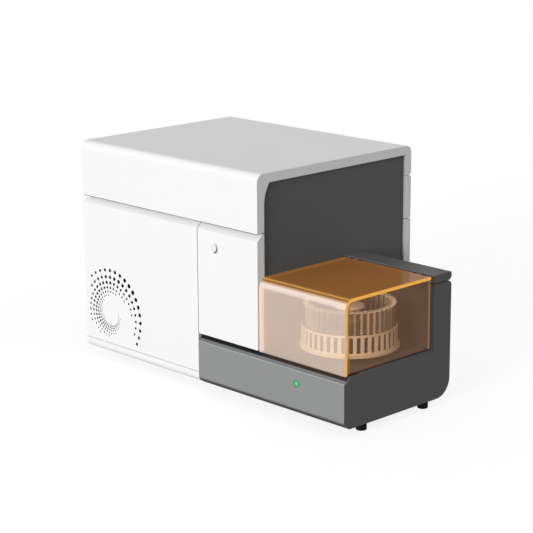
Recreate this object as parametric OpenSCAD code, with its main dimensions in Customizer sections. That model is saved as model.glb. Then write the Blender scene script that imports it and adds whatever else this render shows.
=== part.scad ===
// Flow cytometer with a carousel autosampler.
// The drawing frame starts at the cabinet's lower left front corner: X to the right, Y to the
// back, Z up from the underside. place() moves every piece so that the origin lies on the bench,
// under the middle of the whole instrument.

/* [Cabinet] */
// Width of the cabinet
cab_w = 500; // [480:1:540]
// Depth of the cabinet
cab_d = 414; // [405:1:440]
// Height of the cabinet above its feet
cab_h = 422; // [416:1:440]
// Height of the lid at the front
lid_front_h = 108; // [100:1:116]
// Height of the lid at the back
lid_back_h = 58; // [52:1:66]
// Height of the seam between the two back panels
back_seam = 278; // [270:1:290]
// Distance from the seam beside the left door to the cabinet's right face
right_panel_w = 161; // [150:1:165]
// Wall of the moulded covers
skin = 4; // [3.5:0.25:4.5]
// Radius of the long edges of the lid
edge_r = 15; // [10:1:18]
// Width of the rim round each open end
rim_w = 17.5; // [16:0.5:19]
// Open seam between neighbouring covers
seam = 2; // [1.5:0.1:2.5]
// Height of the finger groove over the front panels
groove_h = 12; // [8:1:14]
// Depth of the finger groove over the front panels
groove_d = 13; // [9:1:14]
// Thickness of the dark side panels
side_t = 3; // [2:0.5:3.5]
// Height of the trim under the left door
trim_h = 20; // [16:1:24]
// Radius of the lower edges of the trims
trim_r = 12.4; // [8:0.5:14]

/* [Autosampler] */
// Height of the autosampler's base
base_h = 95.4; // [90:1:100]
// How far the fascia stands in front of the cabinet
fascia_proud = 2; // [1.5:0.1:3]
// Height of the column with its cap
column_h = 235.7; // [230:1:245]
// Height of the column's cap, with the seam under it
cap_h = 16.1; // [14:0.1:20]
// Depth of the column
column_d = 47.9; // [44:1:54]
// Radius of the lower front edge of the base
base_front_r = 14; // [8:1:18]
// Radius of the lower back edge of the base
base_back_r = 35; // [20:1:40]
// Wall of the autosampler's housing
sam_wall = 3; // [2:0.5:3.5]

/* [Cover] */
// Thickness of the bent amber sheet
cover_t = 6; // [5:0.5:6.5]
// Outer radius of the bend
cover_r = 19; // [14:1:24]
// Distance from the cabinet's front plane to the cover's front
cover_front = 2.3; // [1:0.1:5]
// How far the cover's top lies below the column's top
cover_drop = 2.4; // [2:0.1:6]
// Gap between the cover and the cabinet, and between the cover and the right side
cover_side_gap = 1.5; // [1:0.1:3]
// Distance from the cover's right end to the housing's right face
cover_inset = 6; // [4:0.5:8]

/* [Carousel] */
// Number of sample tubes
tube_count = 40; // [30:1:40]
// Outer radius of a sample tube
tube_r = 6; // [5:0.1:6.1]
// Length of a sample tube
tube_len = 75; // [65:1:76]
// Wall of a sample tube
tube_wall = 0.8; // [0.6:0.1:1]
// Wall of the rack between two tubes
tube_gap = 0.566; // [0.5:0.001:1]
// How far the carousel's flange stands out round the rack
flange_lip = 4; // [2:0.5:6]
// Height of the slotted rack
rack_h = 37; // [30:1:42]
// Room in front of the carousel's flange
front_room = 40; // [36:1:50]
// Room to the right of the carousel's flange
right_room = 14; // [10:1:20]

/* [Feet] */
// Height of the feet
foot_h = 16; // [10:1:22]
// Radius of a foot
foot_r = 10; // [8:0.5:14]

/* [Vent] */
// Number of spokes round the vent swirl
vent_spokes = 36; // [30:1:36]
// Number of rings in the vent swirl
vent_rows = 9; // [6:1:9]
// Radius of the outer ring
vent_r = 90.2; // [84:0.2:92]
// Radius of the largest hole
vent_hole_r = 4.6; // [3.5:0.1:4.8]

/* [Hidden] */
$fn = 48;

// Gaps and fits
seat = 0.3;
run = 0.06;
eps = 0.01;

// Cabinet
side_gap = 0.5;
side_x = skin + side_gap;
inner_x0 = side_x + side_t + side_gap;
inner_x1 = cab_w - inner_x0;
overall_d = cab_d + fascia_proud;
back_in = cab_d - skin;
lid_seam_front = cab_h - lid_front_h;
lid_seam_back = cab_h - lid_back_h;
panel_top = lid_seam_front - seam;
door_split = cab_w - right_panel_w;
panel_bottom = base_h + seam;
right_x0 = door_split + seam / 2;
door_x1 = door_split - seam / 2;
front_bay = 45;
floor_t = 3;

// Lid hinge: the axis lies in the notch between the lid and the upper back panel
lid_axis = [back_in, lid_seam_back];
knuckle_r = 3.4;
pocket_r = knuckle_r + 0.7;
lid_pin_r = 1.5;
lid_hinge_x = [90, cab_w / 2, cab_w - 90];
knuckle_in = 8;
knuckle_out = 20;

// Door hinge: a vertical axis behind the finger groove
door_pin_r = 2;
door_axis = [8, groove_d + 1];
door_z0 = trim_h + 1;
ear_t = 1.2;
left_panel_y = door_axis[1] + norm([door_axis[0], rim_w - door_axis[1]]) + 0.6;

// Front controls
button = [door_split + 48, panel_top - 43];
button_r = 10;
button_travel = 2.5;
light_r = 7.2;

// Back plate and fan
fan = [cab_w - 110, 122];
fan_size = 119;
fan_bore = 57;
fan_t = 25;
pan = [60, 40, cab_w - 210, 236];
pan_lip = 10;
pan_depth = 12;
pan_y = back_in - pan_depth;
inlet = [pan[0] + 52, 88];
inlet_size = [60, 34];
rocker = [inlet[0] - 20, inlet[1]];
rocker_size = [10.4, 19];
rocker_y = pan_y + 3;
rocker_tilt = 8;
rocker_pin_r = 1;
socket = [inlet[0] + 9, inlet[1]];
socket_size = [25, 17];
ports = [[pan[2] - 82, 80, 13, 12], [pan[2] - 52, 80, 16, 14], [pan[2] - 24, 80, 13, 6]];
spigots = [for (i = [0:2]) [pan[0] + 32 + 40 * i, pan[3] - 46]];

// Optics, from the detectors at the right to the lasers at the left
bench_z = lid_seam_front - 52;
bench_t = 12;
bench_y = [front_bay + 5, cab_d - 29];
deck_z = bench_z + bench_t + seat;
beam_z = deck_z + 19;
detector_pitch = 25;
detector_count = 6;
detector_x0 = inner_x1 - 32 - detector_pitch * detector_count - 10;
cell = [detector_x0 - 74, cab_d - 104];
beam_x = cell[0];
lens_y = cell[1] - 42;
laser_x = [inner_x0 + 42, beam_x - 46];
laser_pitch = (lens_y - 148) / 2;
laser_y = [for (i = [0:2]) 100 + laser_pitch * i];
laser_size = [laser_x[1] - laser_x[0], laser_pitch - 18, 40];

// Fluidics bay
panel_y = 71;
pump = [90, bench_z - 72];
pump_r = 24;
syringe = [268, 44];
syringe_r = 9;
syringe_z = [120, 182];
plunger_travel = 45;
valve_x = [150, 182, 214];
valve_z = bench_z - 62;
filter_at = [170, 47];
filter_r = 19;
filter_z = 46;

// Power supply and main board, on the tray behind the right front panel
supply_x = inner_x1 - 142;
supply_y = cab_d - 162;

// Carousel: the circle of tubes sets its size
ring_r = tube_count * (2 * tube_r + tube_gap) / (2 * PI);
rack_out = ring_r + tube_r + 2;
rack_in = ring_r - tube_r - 2;
flange_r = rack_out + flange_lip;
end_t = 4;
end_inset = 1;
carousel = [cab_w + cover_side_gap + end_inset + end_t + 4.5 + flange_r, front_room + flange_r];
plate_z = base_h + 8.6;
plate_t = 3.5;
rack_z = plate_z + plate_t + seat;
rack_floor = 3;
tube_z = rack_z + rack_floor + seat;
shaft_r = 6;
motor_size = 56;

// Autosampler: the carousel sets its width and depth
sam_x0 = cab_w - skin + seat;
sam_x1 = carousel[0] + flange_r + right_room + end_t + end_inset + cover_inset;
overall_w = sam_x1;
column_y = carousel[1] + flange_r + 5.5;
sam_d = column_y + column_d;
cap_seam = column_h - cap_h;
light = [carousel[0] - 3, base_h - 37];
deck_t = 3;

// Cover
cover_top = column_h - cover_drop;
cover_x0 = cab_w + cover_side_gap;
cover_x1 = sam_x1 - cover_inset;
cover_back = column_y - 2.6;
cover_z0 = base_h + seat;
cover_axis = [cover_back, cover_top - 2];
cover_knuckle_r = 2.4;
cover_pin_r = 1;
cover_hinge_x = [cover_x0 + 28, cover_x1 - 28];

// Sampling arm, over the tube at the back of the carousel
arm_x = carousel[0];
needle_y = carousel[1] + ring_r;
arm_t = 6;
arm_z = cover_top - cover_t - arm_t - 1.3;
arm_w = 8;
arm_travel = 30;
column_third = (column_d - 2 * sam_wall) / 3;
rod_dx = 11;
rod_y = column_y + sam_wall + column_third;
rod_r = 3;
screw_y = rod_y + column_third;
screw_r = 2.5;

// Moves the drawing frame to the middle of the footprint, on the bench
module place() {
    translate([-overall_w / 2, fascia_proud - overall_d / 2, foot_h]) children();
}

// A profile drawn in (Y, Z), carried along X
module along_x(x0, x1) {
    translate([x0, 0, 0]) rotate([90, 0, 90]) linear_extrude(x1 - x0) children();
}

// A profile drawn in (X, Z), carried along Y
module along_y(y0, y1) {
    translate([0, y1, 0]) rotate([90, 0, 0]) linear_extrude(y1 - y0) children();
}

// A cylinder along Y
module rod_y_dir(x, z, r, y0, y1) {
    translate([x, y1, z]) rotate([90, 0, 0]) cylinder(r = r, h = y1 - y0);
}

// A cylinder along X
module rod_x_dir(y, z, r, x0, x1) {
    translate([x0, y, z]) rotate([0, 90, 0]) cylinder(r = r, h = x1 - x0);
}

// A block between two corners
module block(a, b) {
    translate(a) cube(b - a);
}

// Points of an arc
function arc(c, r, a0, a1, n = 8) =
    [for (i = [0:n]) c + r * [cos(a0 + (a1 - a0) * i / n), sin(a0 + (a1 - a0) * i / n)]];

// A rectangle with four corner radii, from lower left, counter-clockwise
function round_box(x0, y0, x1, y1, r) = concat(
    arc([x0 + r[0], y0 + r[0]], r[0], 180, 270), arc([x1 - r[1], y0 + r[1]], r[1], 270, 360),
    arc([x1 - r[2], y1 - r[2]], r[2], 0, 90), arc([x0 + r[3], y1 - r[3]], r[3], 90, 180));

// ---- Cabinet housing ----

// Outer line of the lid in (Y, Z), from the front bottom edge over the top to the back
function lid_line(inset) = concat(
    [[inset, lid_seam_front]],
    arc([edge_r, cab_h - edge_r], edge_r - inset, 180, 90),
    arc([cab_d - edge_r, cab_h - edge_r], edge_r - inset, 90, 0));

// The rim's inner line: a wide arc at the front, square at the back
function rim_line() =
    let (h = cab_h - rim_w - lid_seam_front - 50, r = 67, z = lid_seam_front + 50,
         a = asin(min(1, h / r)))
    concat([[rim_w, lid_seam_front]], arc([rim_w + r, z], r, 180, 180 - a),
        [[cab_d - rim_w, cab_h - rim_w], [cab_d - rim_w, lid_seam_back + seat]]);

function reversed(p) = [for (i = [len(p) - 1:-1:0]) p[i]];

module top_lid() {
    lid_foot = [[cab_d, lid_seam_back + skin + seat], [back_in, lid_seam_back + seat]];
    color("gainsboro") difference() {
        union() {
            along_x(0, cab_w)
                polygon(concat(lid_line(0), lid_foot, reversed(lid_line(skin))));
            for (x = [0, cab_w - skin]) along_x(x, x + skin)
                polygon(concat(lid_line(0), lid_foot, reversed(rim_line())));
            for (x = lid_hinge_x)
                rod_x_dir(lid_axis[0], lid_axis[1], knuckle_r,
                    x - knuckle_in + seat, x + knuckle_in - seat);
        }
        for (x = lid_hinge_x) {
            rod_x_dir(lid_axis[0], lid_axis[1], lid_pin_r + run, x - knuckle_out, x + knuckle_out);
            for (side = [-1, 1]) translate([x + side * (knuckle_in + knuckle_out) / 2, 0, 0])
                rod_x_dir(lid_axis[0], lid_axis[1], pocket_r,
                    (knuckle_in - knuckle_out) / 2 - seat * 2, (knuckle_out - knuckle_in) / 2 + seat * 2);
        }
    }
}

module lid_hinges() {
    color("dimgray") for (x = lid_hinge_x) difference() {
        union() {
            rod_x_dir(lid_axis[0], lid_axis[1], lid_pin_r, x - knuckle_out, x + knuckle_out);
            for (side = [-1, 1]) translate([x + side * (knuckle_in + knuckle_out) / 2, 0, 0])
                rod_x_dir(lid_axis[0], lid_axis[1], knuckle_r,
                    (knuckle_in - knuckle_out) / 2, (knuckle_out - knuckle_in) / 2);
            block([x - knuckle_out, back_in - seat - 3, lid_axis[1] - 36],
                [x + knuckle_out, back_in - seat, lid_axis[1] - pocket_r]);
            for (side = [-1, 1]) translate([x + side * (knuckle_in + knuckle_out) / 2, 0, 0])
                block([(knuckle_in - knuckle_out) / 2, back_in - seat - 3, lid_axis[1] - pocket_r - eps],
                    [(knuckle_out - knuckle_in) / 2, back_in - seat, lid_axis[1] - 1]);
        }
        for (z = [lid_axis[1] - 28, lid_axis[1] - 14]) for (side = [-1, 1])
            rod_y_dir(x + side * 12, z, 1.6, back_in - 5, back_in);
    }
}

// A back panel: skin, end returns, notched top edge
module back_shell(z0, z1, notch, r) {
    outline = concat(
        [[cab_d - rim_w, z0]], arc([cab_d - r, z0 + r], r, 270, 360),
        notch ? [[cab_d, z1 - skin], [back_in, z1]] : [[cab_d, z1]], [[cab_d - rim_w, z1]]);
    skin_line = concat(
        r > skin ? concat([[cab_d - rim_w, z0]], arc([cab_d - r, z0 + r], r, 270, 360)) :
            [[back_in, z0], [cab_d, z0]],
        notch ? [[cab_d, z1 - skin], [back_in, z1]] : [[cab_d, z1], [back_in, z1]],
        r > skin ? reversed(concat([[cab_d - rim_w, z0 + skin]],
            arc([cab_d - r, z0 + r], r - skin, 270, 360))) : []);
    along_x(0, cab_w) polygon(skin_line);
    for (x = [0, cab_w - skin]) along_x(x, x + skin) polygon(outline);
}

module rear_upper_panel() {
    color("whitesmoke") difference() {
        back_shell(back_seam + seam / 2, lid_seam_back - seat, true, 0.5);
        for (x = lid_hinge_x)
            rod_x_dir(lid_axis[0], lid_axis[1], pocket_r, x - knuckle_out - seat * 2,
                x + knuckle_out + seat * 2);
    }
}

module rear_lower_panel() {
    color("whitesmoke") difference() {
        back_shell(0, back_seam - seam / 2, false, trim_r);
        rod_y_dir(fan[0], fan[1], fan_bore + 1, back_in - 1, cab_d + 1);
        along_y(back_in - 1, cab_d + 1) polygon(round_box(pan[0] + pan_lip, pan[1] + pan_lip,
            pan[2] - pan_lip, pan[3] - pan_lip, [6, 6, 6, 6]));
        for (i = [0:9]) along_y(back_in - 1, cab_d + 1)
            polygon(round_box(fan[0] - 55, fan[1] + 78 + 7 * i, fan[0] + 55, fan[1] + 81 + 7 * i,
                [1.4, 1.4, 1.4, 1.4]));
    }
}

module rear_io_plate() {
    color("silver") difference() {
        block([pan[0], pan_y, pan[1]], [pan[2], back_in - seat, pan[3]]);
        block([pan[0] + 2, pan_y + 2, pan[1] + 2], [pan[2] - 2, back_in + 1, pan[3] - 2]);
        block([inlet[0] - inlet_size[0] / 2 + 4, pan_y - 1, inlet[1] - inlet_size[1] / 2 + 3],
            [inlet[0] + inlet_size[0] / 2 - 4, pan_y + 3, inlet[1] + inlet_size[1] / 2 - 3]);
        for (p = ports) block([p[0] - p[2] / 2 - 1.3, pan_y - 1, p[1] - p[3] / 2 - 1.3],
            [p[0] + p[2] / 2 + 1.3, pan_y + 3, p[1] + p[3] / 2 + 1.3]);
        for (s = spigots) rod_y_dir(s[0], s[1], 6.3, pan_y - 1, pan_y + 3);
    }
}

// A dark side panel: its front edge steps back under the lid and again behind the lowest trim
module side_plate(x0, front_foot, foot_z, front_low, front_high) {
    high = lid_seam_front + seam;
    back = cab_d - rim_w + 6;
    top = cab_h - rim_w + 6;
    along_x(x0, x0 + side_t) polygon([
        [front_foot, floor_t + seat], [front_foot, foot_z], [front_low, foot_z],
        [front_low, high], [front_high, high], [front_high, top - 6],
        [front_high + 6, top], [back - 6, top], [back, top - 6], [back, trim_r + 4],
        [back - 8, floor_t + seat]]);
}

module left_side_panel() {
    color("dimgray") side_plate(side_x, left_panel_y, trim_h, left_panel_y, rim_w - 6);
}

module right_side_panel() {
    color("dimgray") side_plate(cab_w - side_x - side_t, front_bay + 1, panel_bottom + 1,
        rim_w + 0.5, rim_w - 6);
}

// Lower edge trim under the door: a channel, open at the back
module front_trim() {
    inner = trim_r - sam_wall;
    color("whitesmoke") difference() {
        along_x(0, door_x1) polygon(concat(
            [[front_bay, trim_h], [0, trim_h]], arc([trim_r, trim_r], trim_r, 180, 270),
            [[front_bay, 0], [front_bay, sam_wall]],
            reversed(arc([trim_r, trim_r], inner, 180, 270)),
            [[sam_wall, trim_h - sam_wall], [front_bay, trim_h - sam_wall]]));
        translate([door_axis[0], door_axis[1], sam_wall + 1])
            cylinder(r = door_pin_r + run, h = trim_h);
        block([-1, left_panel_y - 1, -1], [inner_x0, front_bay + 1, trim_h + 1]);
    }
    color("whitesmoke") for (end = [[0, left_panel_y - 1], [door_x1 - sam_wall, front_bay]])
        along_x(end[0], end[0] + sam_wall) polygon(concat([[end[1], trim_h], [0, trim_h]],
            arc([trim_r, trim_r], trim_r, 180, 270), [[end[1], 0]]));
}

// Section of a front panel with its finger groove
function panel_outer(z0) =
    [[0, z0], [0, panel_top - groove_h], [groove_d, panel_top], [rim_w, panel_top]];

module front_shell(x0, x1, z0, closed_bottom) {
    along_x(x0, x1) polygon(concat(panel_outer(z0),
        [[rim_w, panel_top - skin], [groove_d + 1.5, panel_top - skin],
         [skin, panel_top - groove_h - 1.5], [skin, z0]]));
    for (x = [x0, x1 - skin]) along_x(x, x + skin)
        polygon(concat(panel_outer(z0), [[rim_w, z0]]));
    if (closed_bottom) block([x0, 0, z0], [x1, rim_w, z0 + skin]);
}

module right_front_panel() {
    color("whitesmoke") difference() {
        front_shell(right_x0, cab_w, panel_bottom, true);
        rod_y_dir(button[0], button[1], button_r + seat, -1, skin + 1);
    }
}

module power_button() {
    color("white") difference() {
        union() {
            rod_y_dir(button[0], button[1], button_r, -fascia_proud, skin);
            rod_y_dir(button[0], button[1], button_r - 2, skin - eps, 14);
        }
        difference() {
            rod_y_dir(button[0], button[1], button_r - 1.4, -fascia_proud - 1, -fascia_proud + 0.8);
            rod_y_dir(button[0] - 2.4, button[1] + 1.2, button_r - 1.7, -fascia_proud - 2, 1);
        }
    }
}

module power_switch() {
    color("dimgray") difference() {
        union() {
            rod_y_dir(button[0], button[1], button_r + 4, skin + seat, 22);
            block([button[0] - 9, 22 - eps, button[1] - 9], [button[0] + 9, 36, button[1] + 9]);
        }
        rod_y_dir(button[0], button[1], button_r - 2 + seat, skin - 1, 19);
        rod_y_dir(button[0], button[1], button_r + seat, skin - 1, skin + button_travel + 0.5);
    }
}

// ---- Left door ----

// The vent swirl: each ring of holes is a share smaller than the one outside it and starts three
// spokes further round. The holes are largest halfway along a ring.
vent_centre = [78, door_z0 + 59.8];
vent_shrink = 0.8475;
vent_run = 20;
vent_margin = 12;
function vent_ring(m) = vent_r * pow(vent_shrink, m);
function vent_size(i, m) = vent_hole_r * pow(0.87, m) * (1 - 0.045 * abs(i - 9));
function vent_at(i, m) = vent_centre
    + vent_ring(m) * [cos(360 / vent_spokes * (3 * m - 5 + i)), sin(360 / vent_spokes * (3 * m - 5 + i))];

module left_door() {
    color("whitesmoke") difference() {
        union() {
            front_shell(0, door_x1, door_z0, true);
            for (z = [door_z0, panel_top - 14]) block([skin - eps, door_axis[1] - 5, z],
                [door_axis[0] + 5, door_axis[1] + 4.5, z + 14]);
        }
        for (m = [0:vent_rows - 1]) for (i = [0:vent_run - 1])
            if (vent_at(i, m)[0] > vent_margin && vent_at(i, m)[1] > door_z0 + vent_margin)
                rod_y_dir(vent_at(i, m)[0], vent_at(i, m)[1], vent_size(i, m), -1, skin + 1, $fn = 16);
        translate([door_axis[0], door_axis[1], door_z0 - 1]) cylinder(r = door_pin_r + run, h = 13);
        translate([door_axis[0], door_axis[1], panel_top - 12]) cylinder(r = door_pin_r + run, h = 13);
    }
}

module vent_filter() {
    r = vent_r + 5;
    color("darkslategray") difference() {
        along_y(skin + seat, skin + 6) polygon(round_box(skin + seat, door_z0 + skin + seat,
            vent_centre[0] + r, vent_centre[1] + r, [8, 2, 2, 8]));
        block([0, 0, 0], [door_axis[0] + 5.5, 20, door_z0 + 14.5]);
    }
}

module door_hinge_pins() {
    color("silver") {
        translate([door_axis[0], door_axis[1], sam_wall + 1]) cylinder(r = door_pin_r, h = door_z0 + 6);
        translate([door_axis[0], door_axis[1], panel_top - 10])
            cylinder(r = door_pin_r, h = 10 + seam / 2);
        block([side_x, door_axis[1] - 3, panel_top + (seam - ear_t) / 2],
            [inner_x0 + 4, left_panel_y - 1, panel_top + (seam + ear_t) / 2]);
        block([inner_x0, left_panel_y - 1 - eps, panel_top + (seam - ear_t) / 2],
            [inner_x0 + 4, 60, panel_top + (seam + ear_t) / 2]);
        block([inner_x0, left_panel_y + 2, panel_top - 30], [inner_x0 + 2, 60, panel_top + seam / 2]);
    }
}

// ---- Chassis ----

module chassis_tray() {
    color("silver") {
        block([inner_x0, front_bay + 1, 0], [inner_x1, back_in - seat - 14, floor_t]);
        for (x = [inner_x0, inner_x1 - 2])
            block([x, front_bay + 1, floor_t - eps], [x + 2, back_in - seat - 14, 24]);
        block([inner_x0, front_bay + 1, floor_t - eps], [inner_x1, front_bay + 3, trim_h]);
    }
}

module chassis_frame() {
    post = 20;
    x0 = inner_x0 + 3;
    x1 = inner_x1 - 3;
    y0 = front_bay + 5;
    y1 = cab_d - 42;
    top = bench_z - seat;
    color("slategray") {
        for (x = [x0, x1 - post]) for (y = [y0, y1 - post])
            block([x, y, floor_t + seat], [x + post, y + post, top]);
        for (x = [x0, x1 - post]) block([x, y0 + eps, top - post], [x + post, y1 - eps, top]);
        for (y = [y0, y1 - post]) block([x0 + eps, y, top - post], [x1 - eps, y + post, top]);
    }
}

module feet() {
    spots = [[45, 57], [45, cab_d - 54], [cab_w - 45, 57], [cab_w - 45, cab_d - 54],
        [sam_x1 - 17, 57], [sam_x1 - 17, sam_d - base_back_r - 20]];
    color("black") for (p = spots) translate([p[0], p[1], -foot_h]) difference() {
        rotate_extrude() polygon([[0, 0], [foot_r - 1, 0], [foot_r, 1], [foot_r, foot_h - 5],
            [foot_r - 2, foot_h - 3], [foot_r - 2, foot_h], [0, foot_h]]);
        translate([0, 0, -1]) cylinder(r = 4, h = 4);
    }
}

// ---- Back connectors and fan ----

module mains_inlet() {
    y = pan_y + 2 + seat;
    color("black") difference() {
        union() {
            along_y(y, y + 3) polygon(round_box(inlet[0] - inlet_size[0] / 2,
                inlet[1] - inlet_size[1] / 2, inlet[0] + inlet_size[0] / 2,
                inlet[1] + inlet_size[1] / 2, [3, 3, 3, 3]));
            block([inlet[0] - inlet_size[0] / 2 + 5, y - 26, inlet[1] - inlet_size[1] / 2 + 4],
                [inlet[0] + inlet_size[0] / 2 - 5, y + eps, inlet[1] + inlet_size[1] / 2 - 4]);
        }
        along_y(y - 18, y + 4) polygon([
            [socket[0] - socket_size[0] / 2, socket[1] - socket_size[1] / 2],
            [socket[0] + socket_size[0] / 2, socket[1] - socket_size[1] / 2],
            [socket[0] + socket_size[0] / 2, socket[1] + socket_size[1] / 2 - 5],
            [socket[0] + socket_size[0] / 2 - 5, socket[1] + socket_size[1] / 2],
            [socket[0] - socket_size[0] / 2 + 5, socket[1] + socket_size[1] / 2],
            [socket[0] - socket_size[0] / 2, socket[1] + socket_size[1] / 2 - 5]]);
        block([rocker[0] - rocker_size[0] / 2 - seat, y - 9, rocker[1] - rocker_size[1] / 2 - 0.9],
            [rocker[0] + rocker_size[0] / 2 + seat, y + 4, rocker[1] + rocker_size[1] / 2 + 0.9]);
    }
    color("silver") rod_x_dir(rocker_y, rocker[1], rocker_pin_r,
        rocker[0] - rocker_size[0] / 2 - 1, rocker[0] + rocker_size[0] / 2 + 1);
}

module mains_rocker() {
    color("dimgray") translate([rocker[0] - rocker_size[0] / 2, rocker_y, rocker[1]])
        rotate([rocker_tilt, 0, 0]) difference() {
            along_x(0, rocker_size[0]) polygon([
                [-3, -rocker_size[1] / 2 + 1], [4.4, -rocker_size[1] / 2], [3.2, 0],
                [4.4, rocker_size[1] / 2], [-3, rocker_size[1] / 2 - 1], [-6, 0]]);
            rod_x_dir(0, 0, rocker_pin_r + 0.2, -1, rocker_size[0] + 1);
        }
}

module data_ports() {
    y = pan_y + 2 + seat;
    color("silver") for (p = ports) difference() {
        union() {
            block([p[0] - p[2] / 2 - 1, pan_y - 12, p[1] - p[3] / 2 - 1],
                [p[0] + p[2] / 2 + 1, y + 2, p[1] + p[3] / 2 + 1]);
            block([p[0] - p[2] / 2 - 3, y, p[1] - p[3] / 2 - 3],
                [p[0] + p[2] / 2 + 3, y + 1, p[1] + p[3] / 2 + 3]);
        }
        block([p[0] - p[2] / 2, pan_y - 10, p[1] - p[3] / 2],
            [p[0] + p[2] / 2, y + 3, p[1] + p[3] / 2]);
    }
}

module fluid_ports() {
    y = pan_y + 2 + seat;
    color("steelblue") for (s = spigots) difference() {
        union() {
            rod_y_dir(s[0], s[1], 6, pan_y - 14, y + eps);
            rod_y_dir(s[0], s[1], 9, y, y + 2.5, $fn = 6);
            rod_y_dir(s[0], s[1], 3.2, y + 2, cab_d - 4.5);
        }
        rod_y_dir(s[0], s[1], 1.6, pan_y - 15, cab_d);
    }
}

module fan_frame() {
    h = fan_size / 2;
    y1 = back_in - seat;
    y0 = y1 - fan_t;
    color("black") difference() {
        union() {
            difference() {
                along_y(y0, y1) polygon(round_box(fan[0] - h, fan[1] - h, fan[0] + h, fan[1] + h,
                    [5, 5, 5, 5]));
                rod_y_dir(fan[0], fan[1], fan_bore, y0 - 1, y1 + 1);
            }
            rod_y_dir(fan[0], fan[1], 20, y0, y0 + 4);
            intersection() {
                for (a = [0:90:270]) translate([fan[0], 0, fan[1]]) rotate([0, a + 20, 0])
                    block([10, y0, -3], [fan_bore + 2, y0 + 4, 3]);
                rod_y_dir(fan[0], fan[1], fan_bore + 1, y0 - 1, y1);
            }
            rod_y_dir(fan[0], fan[1], 2, y0 + 1, y1 - 4);
        }
        for (sx = [-1, 1]) for (sz = [-1, 1])
            rod_y_dir(fan[0] + sx * 52.5, fan[1] + sz * 52.5, 2.2, y0 - 1, y1 + 1);
    }
}

module fan_rotor() {
    y1 = back_in - seat;
    y0 = y1 - fan_t;
    color("dimgray") difference() {
        union() {
            rod_y_dir(fan[0], fan[1], 20, y0 + 4 + seat, y1 - 2);
            intersection() {
                for (i = [0:6]) translate([fan[0], 0, fan[1]]) rotate([0, i * 360 / 7, 0])
                    translate([17, (y0 + y1) / 2 + 1, 0]) rotate([40, 0, 0])
                        block([0, -1.2, -15], [fan_bore, 1.2, 15]);
                difference() {
                    rod_y_dir(fan[0], fan[1], fan_bore - 2, y0 + 6, y1 - 3);
                    rod_y_dir(fan[0], fan[1], 15, y0, y1);
                }
            }
        }
        rod_y_dir(fan[0], fan[1], 2 + run, y0, y1 - 3.5);
    }
}

module fan_guard() {
    y0 = back_in;
    wire = 1;
    color("silver") {
        for (r = [14, 24.7, 35.4, 46.1, fan_bore - 1]) difference() {
            rod_y_dir(fan[0], fan[1], r + wire, y0 + 1, y0 + 3);
            rod_y_dir(fan[0], fan[1], r - wire, y0, y0 + 4);
        }
        for (a = [45, 135]) translate([fan[0], 0, fan[1]]) rotate([0, a, 0])
            block([-fan_bore, y0, -wire], [fan_bore, y0 + 1.5, wire]);
    }
}

// ---- Optics ----

module optical_bench() {
    color("silver") difference() {
        block([inner_x0 + 1, bench_y[0], bench_z], [inner_x1 - 1, bench_y[1], bench_z + bench_t]);
        for (x = [24, cab_w - 24]) for (t = [0.05, 0.5, 0.95])
            translate([x, bench_y[0] + t * (bench_y[1] - bench_y[0]), bench_z - 1])
            cylinder(r = 3.2, h = bench_t + 2);
    }
}

module laser_modules() {
    s = laser_size;
    color("dimgray") for (y = laser_y) {
        difference() {
            block([laser_x[0], y - s[1] / 2, deck_z], [laser_x[1], y + s[1] / 2, deck_z + s[2]]);
            for (x = [laser_x[0] + 12:11:laser_x[1] - 12])
                block([x, y - s[1] / 2 - 1, deck_z + s[2] - 14], [x + 6, y + s[1] / 2 + 1, deck_z + s[2] + 1]);
        }
        rod_x_dir(y, beam_z, 7, laser_x[1] - eps, laser_x[1] + 12);
    }
}

module beam_mirrors() {
    color("silver") for (y = laser_y) {
        translate([beam_x, y, deck_z]) {
            cylinder(r = 13, h = 6);
            cylinder(r = 6, h = 10);
            rotate([0, 0, -45]) block([-13, -2, 9], [13, 2, 32]);
        }
    }
}

module focusing_lens() {
    y = lens_y;
    color("dimgray") difference() {
        union() {
            rod_y_dir(beam_x, beam_z, 15, y - 12, y + 14);
            rod_y_dir(beam_x, beam_z, 17, y + 6, y + 12);
            block([beam_x - 14, y - 8, deck_z], [beam_x + 14, y + 4, beam_z - 5]);
        }
        rod_y_dir(beam_x, beam_z, 10, y - 13, y - 2);
        rod_y_dir(beam_x, beam_z, 6, y - 3, y + 15);
    }
}

module flow_cell_block() {
    color("silver") difference() {
        block([cell[0] - 22, cell[1] - 20, deck_z], [cell[0] + 22, cell[1] + 20, deck_z + 58]);
        block([cell[0] - 6.3, cell[1] - 6.3, deck_z + 8], [cell[0] + 6.3, cell[1] + 6.3, deck_z + 60]);
        rod_y_dir(cell[0], beam_z, 7, cell[1] - 21, cell[1] + 21);
        rod_x_dir(cell[1], beam_z, 9, cell[0], cell[0] + 23);
    }
}

module flow_cell() {
    color("lightcyan") difference() {
        block([cell[0] - 6, cell[1] - 6, deck_z + 8 + seat], [cell[0] + 6, cell[1] + 6, deck_z + 64]);
        translate([cell[0], cell[1], deck_z + 7]) cylinder(r = 1, h = 60);
    }
}

module collection_lens() {
    x0 = cell[0] + 22 + seat;
    color("dimgray") {
        rod_x_dir(cell[1], beam_z, 14, x0, x0 + 14);
        rod_x_dir(cell[1], beam_z, 17, x0 + 14 - eps, detector_x0 - seat);
        block([x0 + 18, cell[1] - 12, deck_z], [x0 + 34, cell[1] + 12, beam_z - 10]);
    }
}

module detector_block() {
    x1 = detector_x0 + detector_pitch * detector_count + 10;
    color("dimgray") difference() {
        block([detector_x0, cell[1] - 18, deck_z], [x1, cell[1] + 18, deck_z + 44]);
        for (i = [0:detector_count - 1]) translate([detector_x0 + 17.5 + i * detector_pitch, cell[1],
            deck_z + 36]) rotate([0, 0, 45]) block([-12, -1.5, 0], [12, 1.5, 10]);
    }
}

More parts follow.
